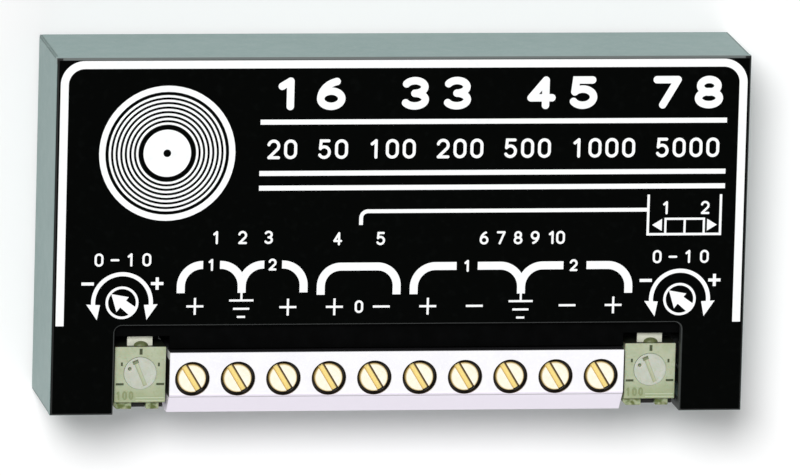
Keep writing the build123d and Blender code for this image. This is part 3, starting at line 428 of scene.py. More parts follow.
class Finish:
    """One node material: colour with a fine variation, roughness and a grain in the surface."""

    def __init__(self, name, colour, roughness, metallic=0.0, specular=0.5):
        self.name = name
        self.material = bpy.data.materials.new(name)
        self.material.use_nodes = True
        self.tree = self.material.node_tree
        self.place = self.node("ShaderNodeTexCoord").outputs["Object"]
        self.colour = (*colour, 1)
        self.shade("Base Color", self.colour).shade("Roughness", roughness)
        self.shade("Metallic", metallic).shade("Specular IOR Level", specular)

    def feed(self, socket, value):
        """Links a socket to another one, or sets it to a plain value."""
        if isinstance(value, bpy.types.NodeSocket):
            self.tree.links.new(value, socket)
        else:
            socket.default_value = value

    def node(self, kind, inputs=None, **settings):
        """A new node with these settings and sockets."""
        made = self.tree.nodes.new(kind)
        for key, value in settings.items():
            setattr(made, key, value)
        for key, value in (inputs or {}).items():
            self.feed(made.inputs[key], value)
        return made

    def shade(self, name, value):
        """Sets or links one of the shader's own sockets."""
        self.feed(self.tree.nodes["Principled BSDF"].inputs[name], value)
        return self

    def noise(self, scale, detail=3.0, stretch=None):
        """A noise of so many features a millimetre, stretched along the axes where asked."""
        place = self.place
        if stretch:
            mapping = self.node("ShaderNodeMapping", {"Vector": place, "Scale": stretch})
            place = mapping.outputs["Vector"]
        return self.node("ShaderNodeTexNoise", {"Vector": place, "Scale": scale / MM,
                                                "Detail": detail}).outputs["Fac"]

    def between(self, value, low, high, bottom=0.0, top=1.0):
        """A value's range from low to high, spread over bottom to top and clamped."""
        return self.node("ShaderNodeMapRange", {"Value": value, "From Min": low, "From Max": high,
                                                "To Min": bottom, "To Max": top}).outputs["Result"]

    def maths(self, operation, a, b=0.0):
        """A maths node over sockets or plain numbers."""
        return self.node("ShaderNodeMath", {0: a, 1: b}, operation=operation).outputs[0]

    def axis(self, name):
        """One coordinate of the surface point, in metres, in the object's own frame."""
        return self.node("ShaderNodeSeparateXYZ", {0: self.place}).outputs[name]

    def past(self, axis, low, high, mirrored=False):
        """A mask from 0 at low to 1 at high, in mm along an axis, or to both sides of its middle."""
        place = self.axis(axis)
        if mirrored:
            place = self.maths("ABSOLUTE", place)
        return self.between(place, low * MM, high * MM)

    def product(self, value, *others):
        """The product of some masks or other values."""
        for other in others:
            value = self.maths("MULTIPLY", value, other)
        return value

    def blend(self, mask, colour):
        """Turns the colour so far into another where the mask is 1."""
        mix = self.node("ShaderNodeMix", {"Factor": mask, MIX_A: self.colour, MIX_B: (*colour, 1)},
                        data_type="RGBA")
        self.colour = mix.outputs[MIX_RESULT]
        return self.shade("Base Color", self.colour)

    def vary(self, scale, colour, low=0.35, high=0.7, stretch=None):
        """Patches of another colour."""
        return self.blend(self.between(self.noise(scale, stretch=stretch), low, high), colour)

    def gloss(self, scale, low, high):
        """Roughness that drifts between two values."""
        return self.shade("Roughness", self.between(self.noise(scale), 0, 1, low, high))

    def bump(self, height, depth, strength):
        """Relief from a height socket, depth in millimetres."""
        made = self.node("ShaderNodeBump", {"Height": height, "Strength": strength,
                                            "Distance": depth * MM})
        return self.shade("Normal", made.outputs["Normal"])

    def grain(self, scale, depth, strength, stretch=None):
        """A fine relief of the surface."""
        return self.bump(self.noise(scale, 4.0, stretch), depth, strength)

    def worn(self, colour):
        """Edges rubbed to another colour."""
        edge = self.node("ShaderNodeNewGeometry").outputs["Pointiness"]
        return self.blend(self.between(edge, 0.52, 0.6), colour)

    def depth(self, weight, scale):
        """Light that enters the plastic as deep as scale, in mm."""
        return self.shade("Subsurface Weight", weight).shade("Subsurface Scale", scale * MM)


def case_paint():
    """Grey-green satin paint, black at the face's edge, with painted shade making it dark grey at its
    rear bend and dark in its notch.
    """
    finish = Finish("case_paint", CASE_GREEN, 0.45, specular=0.4)
    finish.vary(0.09, CASE_GREEN_DEEP).vary(2.5, (0.225, 0.325, 0.312), 0.5, 0.8)
    finish.gloss(0.6, 0.38, 0.52).grain(7.0, 0.02, 0.35)
    face = finish.past("Z", 14.86, 14.9)
    side = finish.past("X", 37.4, 37.45, mirrored=True)
    rear = finish.past("Y", 19.0, 19.05)
    front = finish.past("Y", -19.0, -19.05)
    # painted shade: the rear bend is painted a darker grey than the walls
    painted_bend_shade = finish.product(finish.past("Z", 14.74, 14.8), rear)
    finish.blend(painted_bend_shade, (0.13, 0.15, 0.145))
    rim = finish.product(face, finish.maths("MAXIMUM", side, front))
    finish.blend(rim, (0.003, 0.004, 0.0035))
    # painted shade: the inner faces of the notch above the lip are painted near black
    above_lip = finish.past("Z", 5.3, 5.4)
    notch = finish.product(above_lip, finish.past("X", 31.6, 31.5, mirrored=True),
                           finish.past("Y", -9.4, -9.5))
    finish.blend(notch, (0.032, 0.036, 0.035))
    return finish


def plain_finishes():
    """The finishes that need no mask of their own."""
    return [
        Finish("base_paint", CASE_GREEN, 0.5, specular=0.4)
        .vary(0.09, CASE_GREEN_DEEP).gloss(0.6, 0.42, 0.56).grain(7.0, 0.02, 0.35),
        Finish("label_film", (0.0007, 0.0010, 0.0008), 0.42, specular=0.02)
        .vary(1.2, (0.0016, 0.0020, 0.0018), 0.55, 0.75).gloss(0.25, 0.36, 0.48)
        .grain(12.0, 0.004, 0.2),
        Finish("white_ink", (0.90, 0.91, 0.91), 0.5, specular=0.25)
        .vary(1.6, (0.84, 0.855, 0.86), 0.45, 0.8).grain(14.0, 0.006, 0.25),
        Finish("pad_foam", (0.045, 0.045, 0.048), 0.95, specular=0.2)
        .vary(3.0, (0.02, 0.02, 0.022)).grain(5.0, 0.12, 0.9),
        # a real insulating sheet, whose near-black colour also stands in for the shade in the gap
        # behind the terminal block
        Finish("insulator_film", (0.0008, 0.0009, 0.0009), 0.6, specular=0.02)
        .vary(0.6, (0.0016, 0.0017, 0.0018)).grain(9.0, 0.01, 0.3),
        Finish("board_mask", (0.006, 0.007, 0.007), 0.4, specular=0.3)
        .vary(0.5, (0.010, 0.013, 0.012)).grain(3.0, 0.02, 0.3),
        Finish("zinc_steel", (0.62, 0.63, 0.64), 0.32, metallic=1.0)
        .vary(1.2, (0.50, 0.52, 0.55), 0.4, 0.8).gloss(1.5, 0.24, 0.42).grain(10.0, 0.01, 0.25),
        Finish("tinned_metal", (0.74, 0.74, 0.72), 0.28, metallic=1.0)
        .vary(1.5, (0.60, 0.60, 0.59), 0.4, 0.8).gloss(2.0, 0.2, 0.38).grain(8.0, 0.01, 0.25),
        Finish("switch_base_plastic", (0.010, 0.010, 0.010), 0.6, specular=0.3)
        .vary(1.0, (0.018, 0.016, 0.014)).grain(9.0, 0.012, 0.3),
        Finish("switch_slider_plastic", (0.018, 0.018, 0.02), 0.42)
        .vary(1.5, (0.03, 0.03, 0.032)).grain(10.0, 0.012, 0.3).worn((0.08, 0.08, 0.085)),
        Finish("film_box", (0.42, 0.045, 0.028), 0.3)
        .vary(0.4, (0.36, 0.035, 0.022)).grain(4.0, 0.01, 0.2),
        Finish("can_aluminium", (0.72, 0.72, 0.74), 0.3, metallic=1.0)
        .vary(0.8, (0.6, 0.6, 0.63), 0.45, 0.8, stretch=DRAWN).gloss(1.5, 0.22, 0.4)
        .grain(6.0, 0.008, 0.3, stretch=DRAWN),
        Finish("chip_black", (0.018, 0.018, 0.019), 0.62)
        .vary(1.5, (0.028, 0.028, 0.03)).grain(12.0, 0.015, 0.4),
        Finish("chip_ceramic", (0.42, 0.32, 0.2), 0.5)
        .vary(1.4, (0.5, 0.4, 0.26)).grain(8.0, 0.01, 0.3),
        Finish("seam_paint", (0.13, 0.19, 0.18), 0.55, specular=0.3)
        .vary(0.5, (0.16, 0.23, 0.22)).grain(6.0, 0.02, 0.4),
        Finish("clamp_brass", (0.80, 0.66, 0.36), 0.35, metallic=0.9)
        .vary(1.2, (0.68, 0.52, 0.26)).gloss(1.5, 0.26, 0.45),
        Finish("trimmer_marking", (0.05, 0.06, 0.03), 0.7, specular=0.2)
        .vary(2.0, (0.08, 0.095, 0.05)),
        Finish("wiper_bead", (0.085, 0.105, 0.035), 0.5, specular=0.4)
        .vary(2.0, (0.14, 0.165, 0.07)).grain(6.0, 0.02, 0.3),
        Finish("trimmer_leads", (0.66, 0.68, 0.56), 0.42, metallic=0.35)
        .vary(1.0, (0.78, 0.78, 0.66), 0.4, 0.7).grain(6.0, 0.02, 0.3),
    ]


def terminal_white():
    """White moulded plastic, with painted light making the sloped front lighter and cooler, and
    painted shade in the wells and on the rear face under the face.
    """
    finish = Finish("terminal_white", (0.88, 0.875, 0.90), 0.42, specular=0.4)
    finish.vary(0.35, (0.84, 0.83, 0.875)).vary(3.0, (0.91, 0.905, 0.92), 0.5, 0.8)
    # painted light: the sloped front is painted lighter and bluer than the top, for the light it
    # catches
    finish.blend(finish.past("Y", -17.3, -17.5), (0.95, 0.895, 1.0))
    # painted shade: the screw wells round the heads are painted near black
    painted_well_shade = finish.product(finish.past("Z", 14.62, 14.5), finish.past("Y", -17.9, -17.8),
                          finish.past("Y", -13.7, -13.8))
    finish.blend(painted_well_shade, (0.016, 0.012, 0.008))
    # painted shade: the rear face in the gap under the face is painted near black
    painted_gap_shade = finish.past("Y", -12.9, -12.85)
    finish.blend(painted_gap_shade, (0.02, 0.02, 0.022))
    return finish.gloss(0.8, 0.36, 0.5).grain(8.0, 0.012, 0.3)


def brass():
    """Pale brass, turned on a lathe: fine rings round each screw, with painted shade making it deeper
    gold at its rim and in its slot, and painted shadow along the slot's walls.
    """
    finish = Finish("brass", (0.97, 0.92, 0.73), 0.42, metallic=0.15)
    finish.vary(1.6, (1.0, 0.965, 0.84), 0.4, 0.7)
    squares = [finish.product(finish.axis(name), finish.axis(name)) for name in "XY"]
    from_axis = finish.maths("SQRT", finish.maths("ADD", *squares))
    # painted shade: the rounded rim is painted a deeper gold than the head's top
    rim = finish.between(from_axis, 1.36 * MM, 1.5 * MM)
    finish.blend(rim, (0.66, 0.49, 0.20))
    # painted shade: the slot is painted a deeper gold than the head's top
    sunk = finish.past("Z", -0.12, -0.3)
    finish.blend(sunk, (0.93, 0.74, 0.26))
    across = math.radians(SLOT_ANGLE + 90)
    offset = finish.maths("ADD", finish.product(finish.axis("X"), math.cos(across)),
                          finish.product(finish.axis("Y"), math.sin(across)))
    # painted shadow: a darker gold band along one wall of the slot's floor, a dark brown line along
    # the other
    for low, high, colour in ((-0.18, -0.34, (0.72, 0.47, 0.12)), (0.13, 0.23, (0.09, 0.05, 0.015))):
        side = finish.between(offset, low * MM, high * MM)
        finish.blend(finish.product(sunk, side), colour)
    wave = finish.node("ShaderNodeTexWave", {"Vector": finish.place, "Scale": 1.6 / MM,
                                             "Distortion": 0.6},
                       wave_type="RINGS", rings_direction="Z")
    return finish.gloss(2.0, 0.28, 0.44).bump(wave.outputs["Fac"], 0.01, 0.3)


def trimmer_plastic():
    """Pale sage green moulded plastic, mottled, with painted shade making it olive towards the feet
    and near black on its rear face under the face, paler raised lines and darker raised numerals
    painted as highlight and shade, and dark patches on the feet.
    """
    finish = Finish("trimmer_plastic", (0.385, 0.43, 0.285), 0.5, specular=0.4)
    finish.vary(0.9, (0.45, 0.49, 0.355)).vary(2.8, (0.32, 0.37, 0.22), 0.55, 0.8)
    # painted shade: the body is painted a darker olive towards its front
    front = finish.past("Y", -16.3, -17.9)
    finish.blend(finish.product(front, 0.55), (0.28, 0.33, 0.17))
    # painted highlight and shade on the relief: the raised lines' height is painted paler, the raised
    # numerals' height darker
    for height, colour in ((13.81, (0.47, 0.51, 0.36)), (13.87, (0.24, 0.28, 0.14))):
        finish.blend(finish.past("Z", height, height + 0.02), colour)
    # dark patches on the feet
    dark_foot_patches = finish.between(finish.noise(1.6), 0.42, 0.6)
    feet = finish.past("Y", -18.4, -18.7)
    finish.blend(finish.product(feet, dark_foot_patches), (0.10, 0.13, 0.03))
    # painted shade: the rear face below the top, in the gap under the face, is painted near black
    painted_gap_shade = finish.product(finish.past("Y", -12.5, -12.45), finish.past("Z", 13.7, 13.6))
    finish.blend(painted_gap_shade, (0.012, 0.014, 0.008))
    return finish.depth(0.15, 0.6).gloss(1.2, 0.42, 0.6).grain(5.0, 0.02, 0.35)


def rotor_plastic():
    """Cloudy pale grey plastic of the trimmers' rotors, with painted shade making it darker and
    greener in the slot and darker still in the deep notch.
    """
    finish = Finish("rotor_plastic", (0.47, 0.495, 0.41), 0.36)
    finish.vary(1.1, (0.54, 0.56, 0.50)).vary(2.5, (0.41, 0.46, 0.32), 0.55, 0.8)
    # painted shade: darker and greener below the top, darker still in the deep notch
    finish.blend(finish.past("Z", -0.05, -0.14), (0.355, 0.39, 0.25))
    finish.blend(finish.past("Z", -0.2, -0.36), (0.25, 0.28, 0.17))
    return finish.depth(0.2, 0.5).grain(6.0, 0.012, 0.3)


def backdrop():
    """The pale studio floor."""
    finish = Finish("studio_floor", (0.92, 0.92, 0.92), 0.8, specular=0.1)
    return finish.vary(0.02, (0.91, 0.91, 0.912))


# ---------------- the object
def dress_frame_nodes(finishes):
    """Gives every CAD node the finish of its record slot, and the clamps a duller brass."""
    for part in frame["record"]["subparts"]:
        clamp = part["node"].startswith("terminal_clamp")
        mesh = frame["nodes"][part["node"]].data
        mesh.materials.clear()
        mesh.materials.append(finishes["clamp_brass" if clamp else part["material_slot"]])


def lower_the_film(bm):
    """Makes the face film thinner by the ink that lies on it."""
    top = max(v.co.z for v in bm.verts)
    for v in bm.verts:
        if v.co.z > top - WELD * MM:
            v.co.z -= INK_THICKNESS * MM
    return bm


def arch(left, right, top, foot, radius, stroke, open_side=None):
    """A stroke round the top of an area; an open side ends on the top line."""
    path = [(left, foot), *arc(left + radius, top - radius, radius, 180, 90),
            *arc(right - radius, top - radius, radius, 90, 0), (right, foot)]
    half = len(path) // 2
    if open_side == "left":
        path[:half] = [(left, top)]
    if open_side == "right":
        path[half:] = [(right, top)]
    return ribbon(path, stroke)


def print_border(ink):
    """The wide white line round the face, open at its front."""
    printed("print_border", arch(*BORDER), ink)


def print_roundel(ink):
    """A record disc: rim, grooves and a solid middle with the spindle hole."""
    cx, cy = ROUNDEL_CENTRE
    polygons = ribbon(ring(cx, cy, ROUNDEL_RADIUS - ROUNDEL_RIM / 2), ROUNDEL_RIM, closed=True)
    for number in range(GROOVE_COUNT):
        radius = GROOVE_OUTER - number * GROOVE_PITCH
        polygons += ribbon(ring(cx, cy, radius), GROOVE_STROKE, closed=True)
    middle = (DISC_LABEL_RADIUS + SPINDLE_RADIUS) / 2
    polygons += ribbon(ring(cx, cy, middle), DISC_LABEL_RADIUS - SPINDLE_RADIUS, closed=True)
    printed("print_roundel", polygons, ink)


def print_headings(ink):
    """Two lines of plain numerals and the three rules between them."""
    printed("print_title", numerals("16 33 45 78", *TITLE), ink)
    printed("print_scale", numerals("20 50 100 200 500 1000 5000", *SCALE), ink)
    rules = []
    for y in RULE_HEIGHTS:
        rules += rectangle(RULE_LEFT, y - RULE_STROKE / 2, RULE_RIGHT, y + RULE_STROKE / 2)
    printed("print_rules", rules, ink)


def print_switch_legend(ink):
    """The line from the power terminals to the switch, and the switch's little plan."""
    frame_line = [(LEGEND_LEFT, LEGEND_TOP), (LEGEND_LEFT, LEGEND_BOTTOM),
                  (LEGEND_RIGHT, LEGEND_BOTTOM), (LEGEND_RIGHT, LEGEND_TOP)]
    left, bottom, right, top = SWITCH_BOX
    middle = (left + right) / 2
    polygons = arch(*LINK, "right") + ribbon(frame_line, LEGEND_STROKE)
    for line in ([(left, bottom), (left, top), (right, top), (right, bottom)],
                 [(middle, bottom), (middle, top)]):
        polygons += ribbon(line, SWITCH_BOX_STROKE)
    for tip, height, base in POINTER_TIPS:
        polygons.append([(tip, height), (base, height - POINTER_HALF_HEIGHT),
                         (base, height + POINTER_HALF_HEIGHT)])
    for number, x in zip("12", POSITION_X):
        polygons += numeral(number, x, POSITION_BOTTOM)
    printed("print_switch", polygons, ink)


def ground(cx, top):
    """A ground sign hanging from a bracket's shared stem."""
    polygons = rectangle(cx - GROUND_STROKE / 2, top - GROUND_STEM, cx + GROUND_STROKE / 2, top)
    for half, drop in GROUND_BARS:
        polygons += minus(cx, top - GROUND_STEM - drop, half, GROUND_STROKE)
    return polygons


def split_brackets(spans, top, numeral_places):
    """Two brackets, each open in its middle round a numeral, and the ground sign they share."""
    polygons = []
    for (left, right), open_side in zip(spans, ("right", "left", "right", "left")):
        polygons += arch(left, right, top, top - BRACKET_DROP, BRACKET_RADIUS, BRACKET_STROKE,
                         open_side)
    for digit, x in zip("12", numeral_places):
        polygons += numeral(digit, x, top - CHANNEL_HEIGHT / 2, CHANNEL_HEIGHT, CHANNEL_STROKE)
    middle = spans[1][1]
    return polygons + ground(middle, top - BRACKET_DROP)


def signs(places):
    """Plus and minus signs, each at its own x and y."""
    polygons = []
    for kind, x, y in places:
        polygons += plus(x, y) if kind == "+" else minus(x, y)
    return polygons


def print_brackets(ink):
    """The brackets over the input, supply and output terminals, with their signs and numerals."""
    inputs = split_brackets(INPUT_BRACKETS, INPUT_BRACKET_TOP, INPUT_CHANNEL_X)
    inputs += signs(INPUT_SIGNS) + numerals("1 2 3", *INPUT_NUMBERS)
    printed("print_inputs", inputs, ink)

    supply = arch(*SUPPLY_BRACKET) + signs(SUPPLY_SIGNS)
    supply += numeral("0", SUPPLY_ZERO_X, SUPPLY_ZERO_BOTTOM, SUPPLY_ZERO_HEIGHT)
    supply += numerals("4 5", *SUPPLY_NUMBERS)
    printed("print_supply", supply, ink)

    outputs = split_brackets(OUTPUT_BRACKETS, BRACKET_TOP, OUTPUT_CHANNEL_X)
    outputs += signs(OUTPUT_SIGNS) + numerals("6 7 8 9 10", *OUTPUT_NUMBERS)
    printed("print_outputs", outputs, ink)


def print_gain_symbols(ink):
    """The turning arrows, the pointer, the signs and the numerals over each gain trimmer."""
    for name, cx in zip(("left", "right"), GAIN_CENTRES):
        polygons = ribbon(arc(cx, GAIN_Y, GAIN_ARC_RADIUS, *GAIN_ARC_ENDS), GAIN_ARC_STROKE)
        for side, sign in ((-1, minus), (1, plus)):
            polygons.append([(cx + side * x, GAIN_Y + y) for x, y in GAIN_ARROWHEAD])
            polygons += sign(cx + side * GAIN_SIGN_X, GAIN_SIGN_Y, GAIN_SIGN_REACH,
                             GAIN_SIGN_STROKE)
        polygons += ribbon(ring(cx, GAIN_Y, GAIN_RING_RADIUS), GAIN_RING_STROKE, closed=True)
        for shape in (GAIN_POINTER_HEAD, GAIN_POINTER_SHAFT):
            polygons.append([(cx + x, GAIN_Y + y) for x, y in shape])
        polygons += numerals("0-10", cx - GAIN_CAPTION_HALF, cx + GAIN_CAPTION_HALF,
                             GAIN_CAPTION_BOTTOM)
        printed("print_gain_" + name, polygons, ink)


# ---------------- screws, trimmers, switch
def skin(bm, rings):
    """Faces between closed rings of vertices, of which one may be a single tip."""
    count = max(len(vertices) for vertices in rings)
    for low, high in zip(rings, rings[1:]):
        for i in range(count):
            j = (i + 1) % count
            corners = [low[i % len(low)], low[j % len(low)], high[j % len(high)],
                       high[i % len(high)]]
            bm.faces.new(list(dict.fromkeys(corners)))


def at_height(bm, outline, z):
    """Vertices over an outline, all at one height, in mm."""
    return [bm.verts.new((x * MM, y * MM, z * MM)) for x, y in outline]


def lathe(profile, segments):
    """A closed turned solid: profile is (radius, z) in mm from the lower middle to the upper one."""
    bm = bmesh.new()
    skin(bm, [at_height(bm, ring(0, 0, radius, segments) if radius else [(0, 0)], z)
              for radius, z in profile])
    return bm


def prism(bm, outline, bottom, top):
    """A straight solid over an outline in mm, counterclockwise."""
    lower = at_height(bm, outline, bottom)
    upper = at_height(bm, outline, top)
    bm.faces.new(lower[::-1])
    bm.faces.new(upper)
    skin(bm, [lower, upper])


def blocks(*sizes):
    """Boxes in mm, each (left, front, right, rear, bottom, top)."""
    bm = bmesh.new()
    for left, front, right, rear, bottom, top in sizes:
        prism(bm, rectangle(left, front, right, rear)[0], bottom, top)
    return bm


def cutter(outline, depth):
    """A straight solid that cuts a recess of that depth into a flat side at height 0."""
    bm = bmesh.new()
    prism(bm, outline, -depth, depth)
    return bm


def slot_cutter(start, end, half_width, depth, degrees):
    """A bar that cuts a straight slot, turned about the origin."""
    turn = Matrix.Rotation(math.radians(degrees), 2)
    bar = rectangle(start, -half_width, end, half_width)[0]
    return cutter([tuple(turn @ Vector(p)) for p in bar], depth)


def box_mm(node):
    """A CAD node's lowest and highest corners at rest, in mm."""
    return [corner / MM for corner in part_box(node)]


def move_to(piece, x, y, z):
    """Puts a piece's origin at a place in mm."""
    piece.matrix_world = Matrix.Translation((x * MM, y * MM, z * MM))


def add_threaded_shank(bm, top, bottom):
    """A shank with a helical thread from top down to bottom, closed at both ends."""
    levels = round((top - bottom) / THREAD_PITCH * THREAD_STEPS)
    rings = []
    for level in range(levels + 1):
        z = bottom + (top - bottom) * level / levels
        fade = min(1.0, level / THREAD_STEPS, (levels - level) / THREAD_STEPS)
        outline = []
        for i, (x, y) in enumerate(ring(0, 0, 1, THREAD_SEGMENTS)):
            phase = (z / THREAD_PITCH - i / THREAD_SEGMENTS) % 1
            radius = SHANK_DIAMETER / 2 - THREAD_DEPTH * (1 - abs(2 * phase - 1)) * fade
            outline.append((radius * x, radius * y))
        rings.append(at_height(bm, outline, z))
    skin(bm, rings)
    bm.faces.new(rings[0][::-1])
    bm.faces.new(rings[-1])


def add_terminal_screws(material):
    """Ten slotted screws, each on its own body, modelled about the top of its own axis."""
    nodes = [f"terminal_screw_{number:02d}" for number in range(1, SCREW_COUNT + 1)]
    low, high = box_mm(nodes[0])
    radius = (high.x - low.x) / 2
    head = lathe([(0, -SCREW_HEAD_HEIGHT), (radius, -SCREW_HEAD_HEIGHT), (radius, -SCREW_EDGE),
                  (radius - SCREW_EDGE_MIDDLE, -SCREW_EDGE_MIDDLE), (radius - SCREW_EDGE, 0),
                  (0, 0)], SCREW_SEGMENTS)
    reach = radius + OVERSHOOT
    slot = slot_cutter(-reach, reach, SLOT_WIDTH / 2, SLOT_DEPTH, SLOT_ANGLE)
    shape = rounded(carved(head, slot), SCREW_SLOT_EDGE, -SLOT_DEPTH - ABOVE_MARGIN)
    add_threaded_shank(shape, -SCREW_HEAD_HEIGHT, low.z - high.z)
    first = finish_piece("screw_01", shape, material, nodes[0], nodes[:1])
    for number, node in enumerate(nodes, 1):
        screw = first
        if number > 1:
            screw = first.copy()
            screw.name = f"screw_{number:02d}"
            bpy.context.scene.collection.objects.link(screw)
            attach(screw, node)
            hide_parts(node)
        low, high = box_mm(node)
        move_to(screw, (low.x + high.x) / 2, (low.y + high.y) / 2, high.z)


def add_rotor(node, name, axis, material):
    """A trimmer's rotor: a disc with a thin flange, a driver slot, its tip's notch and a dimple."""
    low, high = box_mm(node)
    radius = (high.x - low.x) / 2
    flange = radius + ROTOR_FLANGE
    disc = lathe([(0, low.z - high.z), (ROTOR_HUB_RADIUS, low.z - high.z),
                  (ROTOR_HUB_RADIUS, -ROTOR_THICKNESS), (radius, -ROTOR_THICKNESS),
                  (radius, -ROTOR_FLANGE_THICKNESS), (flange, -ROTOR_FLANGE_THICKNESS),
                  (flange, -ROTOR_RIM_DROP), (flange - ROTOR_RIM_INSET, 0), (0, 0)],
                 ROTOR_SEGMENTS)
    slot, notch = [slot_cutter(*sizes, ROTOR_SLOT_ANGLE) for sizes in (ROTOR_SLOT, ROTOR_NOTCH)]
    dimple = cutter(ring(*ROTOR_DIMPLE, DIMPLE_SEGMENTS), ROTOR_DIMPLE_DEPTH)
    shape = rounded(carved(disc, slot, notch, dimple), ROTOR_EDGE, -ROTOR_SLOT[3] - ABOVE_MARGIN)
    move_to(finish_piece(name, shape, material, node, [node]), *axis, high.z)


def add_trimmer_body(node, material):
    """The body with its step in front, cut away at its right front corner and above its base."""
    low, high = box_mm(node)
    step_rear = low.y + TRIMMER_STEP

    def stepped(bm):
        for v in bm.verts:
            if v.co.z < low.z * MM + WELD * MM:
                v.co.z = (low.z + TRIMMER_BASE_HEIGHT) * MM
        front, right, top = low.y - OVERSHOOT, high.x + OVERSHOOT, high.z + OVERSHOOT
        step = blocks((low.x - OVERSHOOT, front, right, step_rear, high.z - TRIMMER_STEP_DROP, top))
        notch = blocks((high.x - TRIMMER_SIDE_NOTCH, front, right, step_rear,
                        low.z - OVERSHOOT, top))
        return carved(bm, step, notch)

    softened(node, TRIMMER_EDGE, material, change=stepped)


def add_trimmer_base(node, name, middle, material):
    """The dark base under the body, with dark posts between its feet that stand in for the shade in
    the gaps there.
    """
    low, high = box_mm(node)
    inset = TRIMMER_BASE_INSET
    left, front, right, rear = low.x + inset, low.y + inset, high.x - inset, high.y - inset
    base_top = low.z + TRIMMER_BASE_HEIGHT
    post_rear = low.y + TRIMMER_STEP - inset
    post = (post_rear, base_top - inset, high.z - TRIMMER_POST_DROP)
    base = blocks((left, front, right, rear, low.z, base_top),
                  (middle - TRIMMER_GAP_HALF, front, middle + TRIMMER_GAP_HALF, *post),
                  (right - TRIMMER_SIDE_NOTCH + 2 * inset, front, right, *post))
    finish_piece(name, rounded(base, TRIMMER_BASE_EDGE), material)


def add_trimmer_marks(prefix, x, y, top, body_finish, mark_finish):
    """The dark ticks, the raised lines and the numerals on the body's top."""
    bottom = top - TRIMMER_MARK_SINK
    for kind, sizes, rise, material in (("marks", TRIMMER_TICKS, TICK_RISE, mark_finish),
                                        ("ridges", TRIMMER_RIDGES, RIDGE_RISE, body_finish)):
        raised = blocks(*[(x + dx - width / 2, y + dy - length / 2, x + dx + width / 2,
                           y + dy + length / 2, bottom, top + rise)
                          for dx, dy, width, length in sizes])
        finish_piece(prefix + kind, rounded(raised, TRIMMER_MARK_EDGE), material)
    digits = [[(x + px, y + py) for px, py in polygon]
              for polygon in numerals("100", *TRIMMER_NUMERALS)]
    shape = layer(digits, bottom * MM, (top + TRIMMER_NUMERALS_RISE) * MM)
    finish_piece(prefix + "numerals", shape, body_finish, smooth=False)


def add_wiper_bead(name, x, y, z, material):
    """The domed bead of lacquer on the wiper's tab."""
    dome = [(math.cos(a), math.sin(a)) for a in map(math.radians, range(0, 90, BEAD_STEP))]
    bead = lathe([(0, -BEAD_SINK), (1, -BEAD_SINK), *dome, (0, 1)], BEAD_SEGMENTS)
    bmesh.ops.scale(bead, vec=TAB_BEAD, verts=bead.verts)
    move_to(finish_piece(name, bead, material), x, y, z)


def add_trimmer(side, finishes):
    """One gain trimmer: body with moulded marks, dark base with posts standing in for shade, rotor and
    wiper bead.
    """
    prefix = f"gain_{side}_"
    body, rotor = prefix + "body", prefix + "rotor"
    high = box_mm(body)[1]
    rotor_low, rotor_high = box_mm(rotor)
    x, y = (rotor_low.x + rotor_high.x) / 2, (rotor_low.y + rotor_high.y) / 2
    plastic = finishes["trimmer_plastic"]
    add_trimmer_body(body, plastic)
    add_trimmer_base(body, prefix + "base", x, finishes["switch_base_plastic"])
    add_trimmer_marks(prefix, x, y, high.z, plastic, finishes["trimmer_marking"])
    add_rotor(rotor, prefix + "pointer", (x, y), finishes["rotor_plastic"])
    tab_top = box_mm(prefix + "leads")[1].z
    add_wiper_bead(prefix + "bead", x + TAB_BEAD_OFFSET, high.y, tab_top, finishes["wiper_bead"])


def add_base_screws(material):
    """The four base screws with hexagon sockets in their heads."""
    low, high = box_mm("base_screws")
    length = high.z - low.z
    radius, height, rim, shank = BASE_SCREW
    x, y = high.x - radius, high.y - radius
    for number, (cx, cy) in enumerate(((-x, -y), (x, -y), (x, y), (-x, y)), 1):
        head = lathe([(0, 0), (radius - rim, 0), (radius, rim), (radius, height),
                      (shank, height), (shank, length), (0, length)], BASE_SCREW_SEGMENTS)
        socket = cutter(ring(0, 0, HEX_SOCKET_ACROSS / math.sqrt(3), 6), HEX_SOCKET_DEPTH)
        screw = finish_piece(f"base_screw_{number}", rounded(carved(head, socket), BASE_SCREW_EDGE),
                             material,
                             replaces=["base_screws"] if number == 1 else ())
        move_to(screw, cx, cy, low.z)


def add_switch_slider(material):
    """The switch's slider, with grooves across its tip for a fingernail."""
    node = "ground_switch_slider"
    low, high = box_mm(node)
    middle = (low.y + high.y) / 2
    half = SLIDER_GROOVE_DEPTH

    def grooved(bm):
        grooves = bmesh.new()
        for number in range(SLIDER_GROOVES):
            y = middle + (number - (SLIDER_GROOVES - 1) / 2) * SLIDER_GROOVE_PITCH
            mouth = high.x + SLIDER_GROOVE_MOUTH
            prism(grooves, [(high.x - SLIDER_GROOVE_DEPTH, y), (mouth, y - half),
                            (mouth, y + half)], low.z - OVERSHOOT, high.z + OVERSHOOT)
        return carved(bm, grooves)

    softened(node, SLIDER_EDGE, material, body=node, change=grooved)


def add_corner_seams(material):
    """The filled seams at the cover's four corners, set back a little from its walls."""
    low, high = box_mm("case_cover")
    local = [(-SEAM_WIDTH, 0), (-SEAM_CHAMFER, 0), (0, -SEAM_CHAMFER), (0, -SEAM_WIDTH),
             (-SEAM_REACH + SEAM_WIDTH, -SEAM_REACH), (-SEAM_REACH, -SEAM_REACH + SEAM_WIDTH)]
    seams = bmesh.new()
    for side_x in (-1, 1):
        for side_y in (-1, 1):
            outline = [(side_x * (high.x - SEAM_SET_BACK + a), side_y * (high.y - SEAM_SET_BACK + b))
                       for a, b in local]
            prism(seams, outline if side_x == side_y else outline[::-1],
                  low.z + SEAM_FOOT, high.z - SEAM_TOP_DROP)
    bmesh.ops.recalc_face_normals(seams, faces=seams.faces)
    finish_piece("case_corner_seams", rounded(seams, SEAM_EDGE), material)


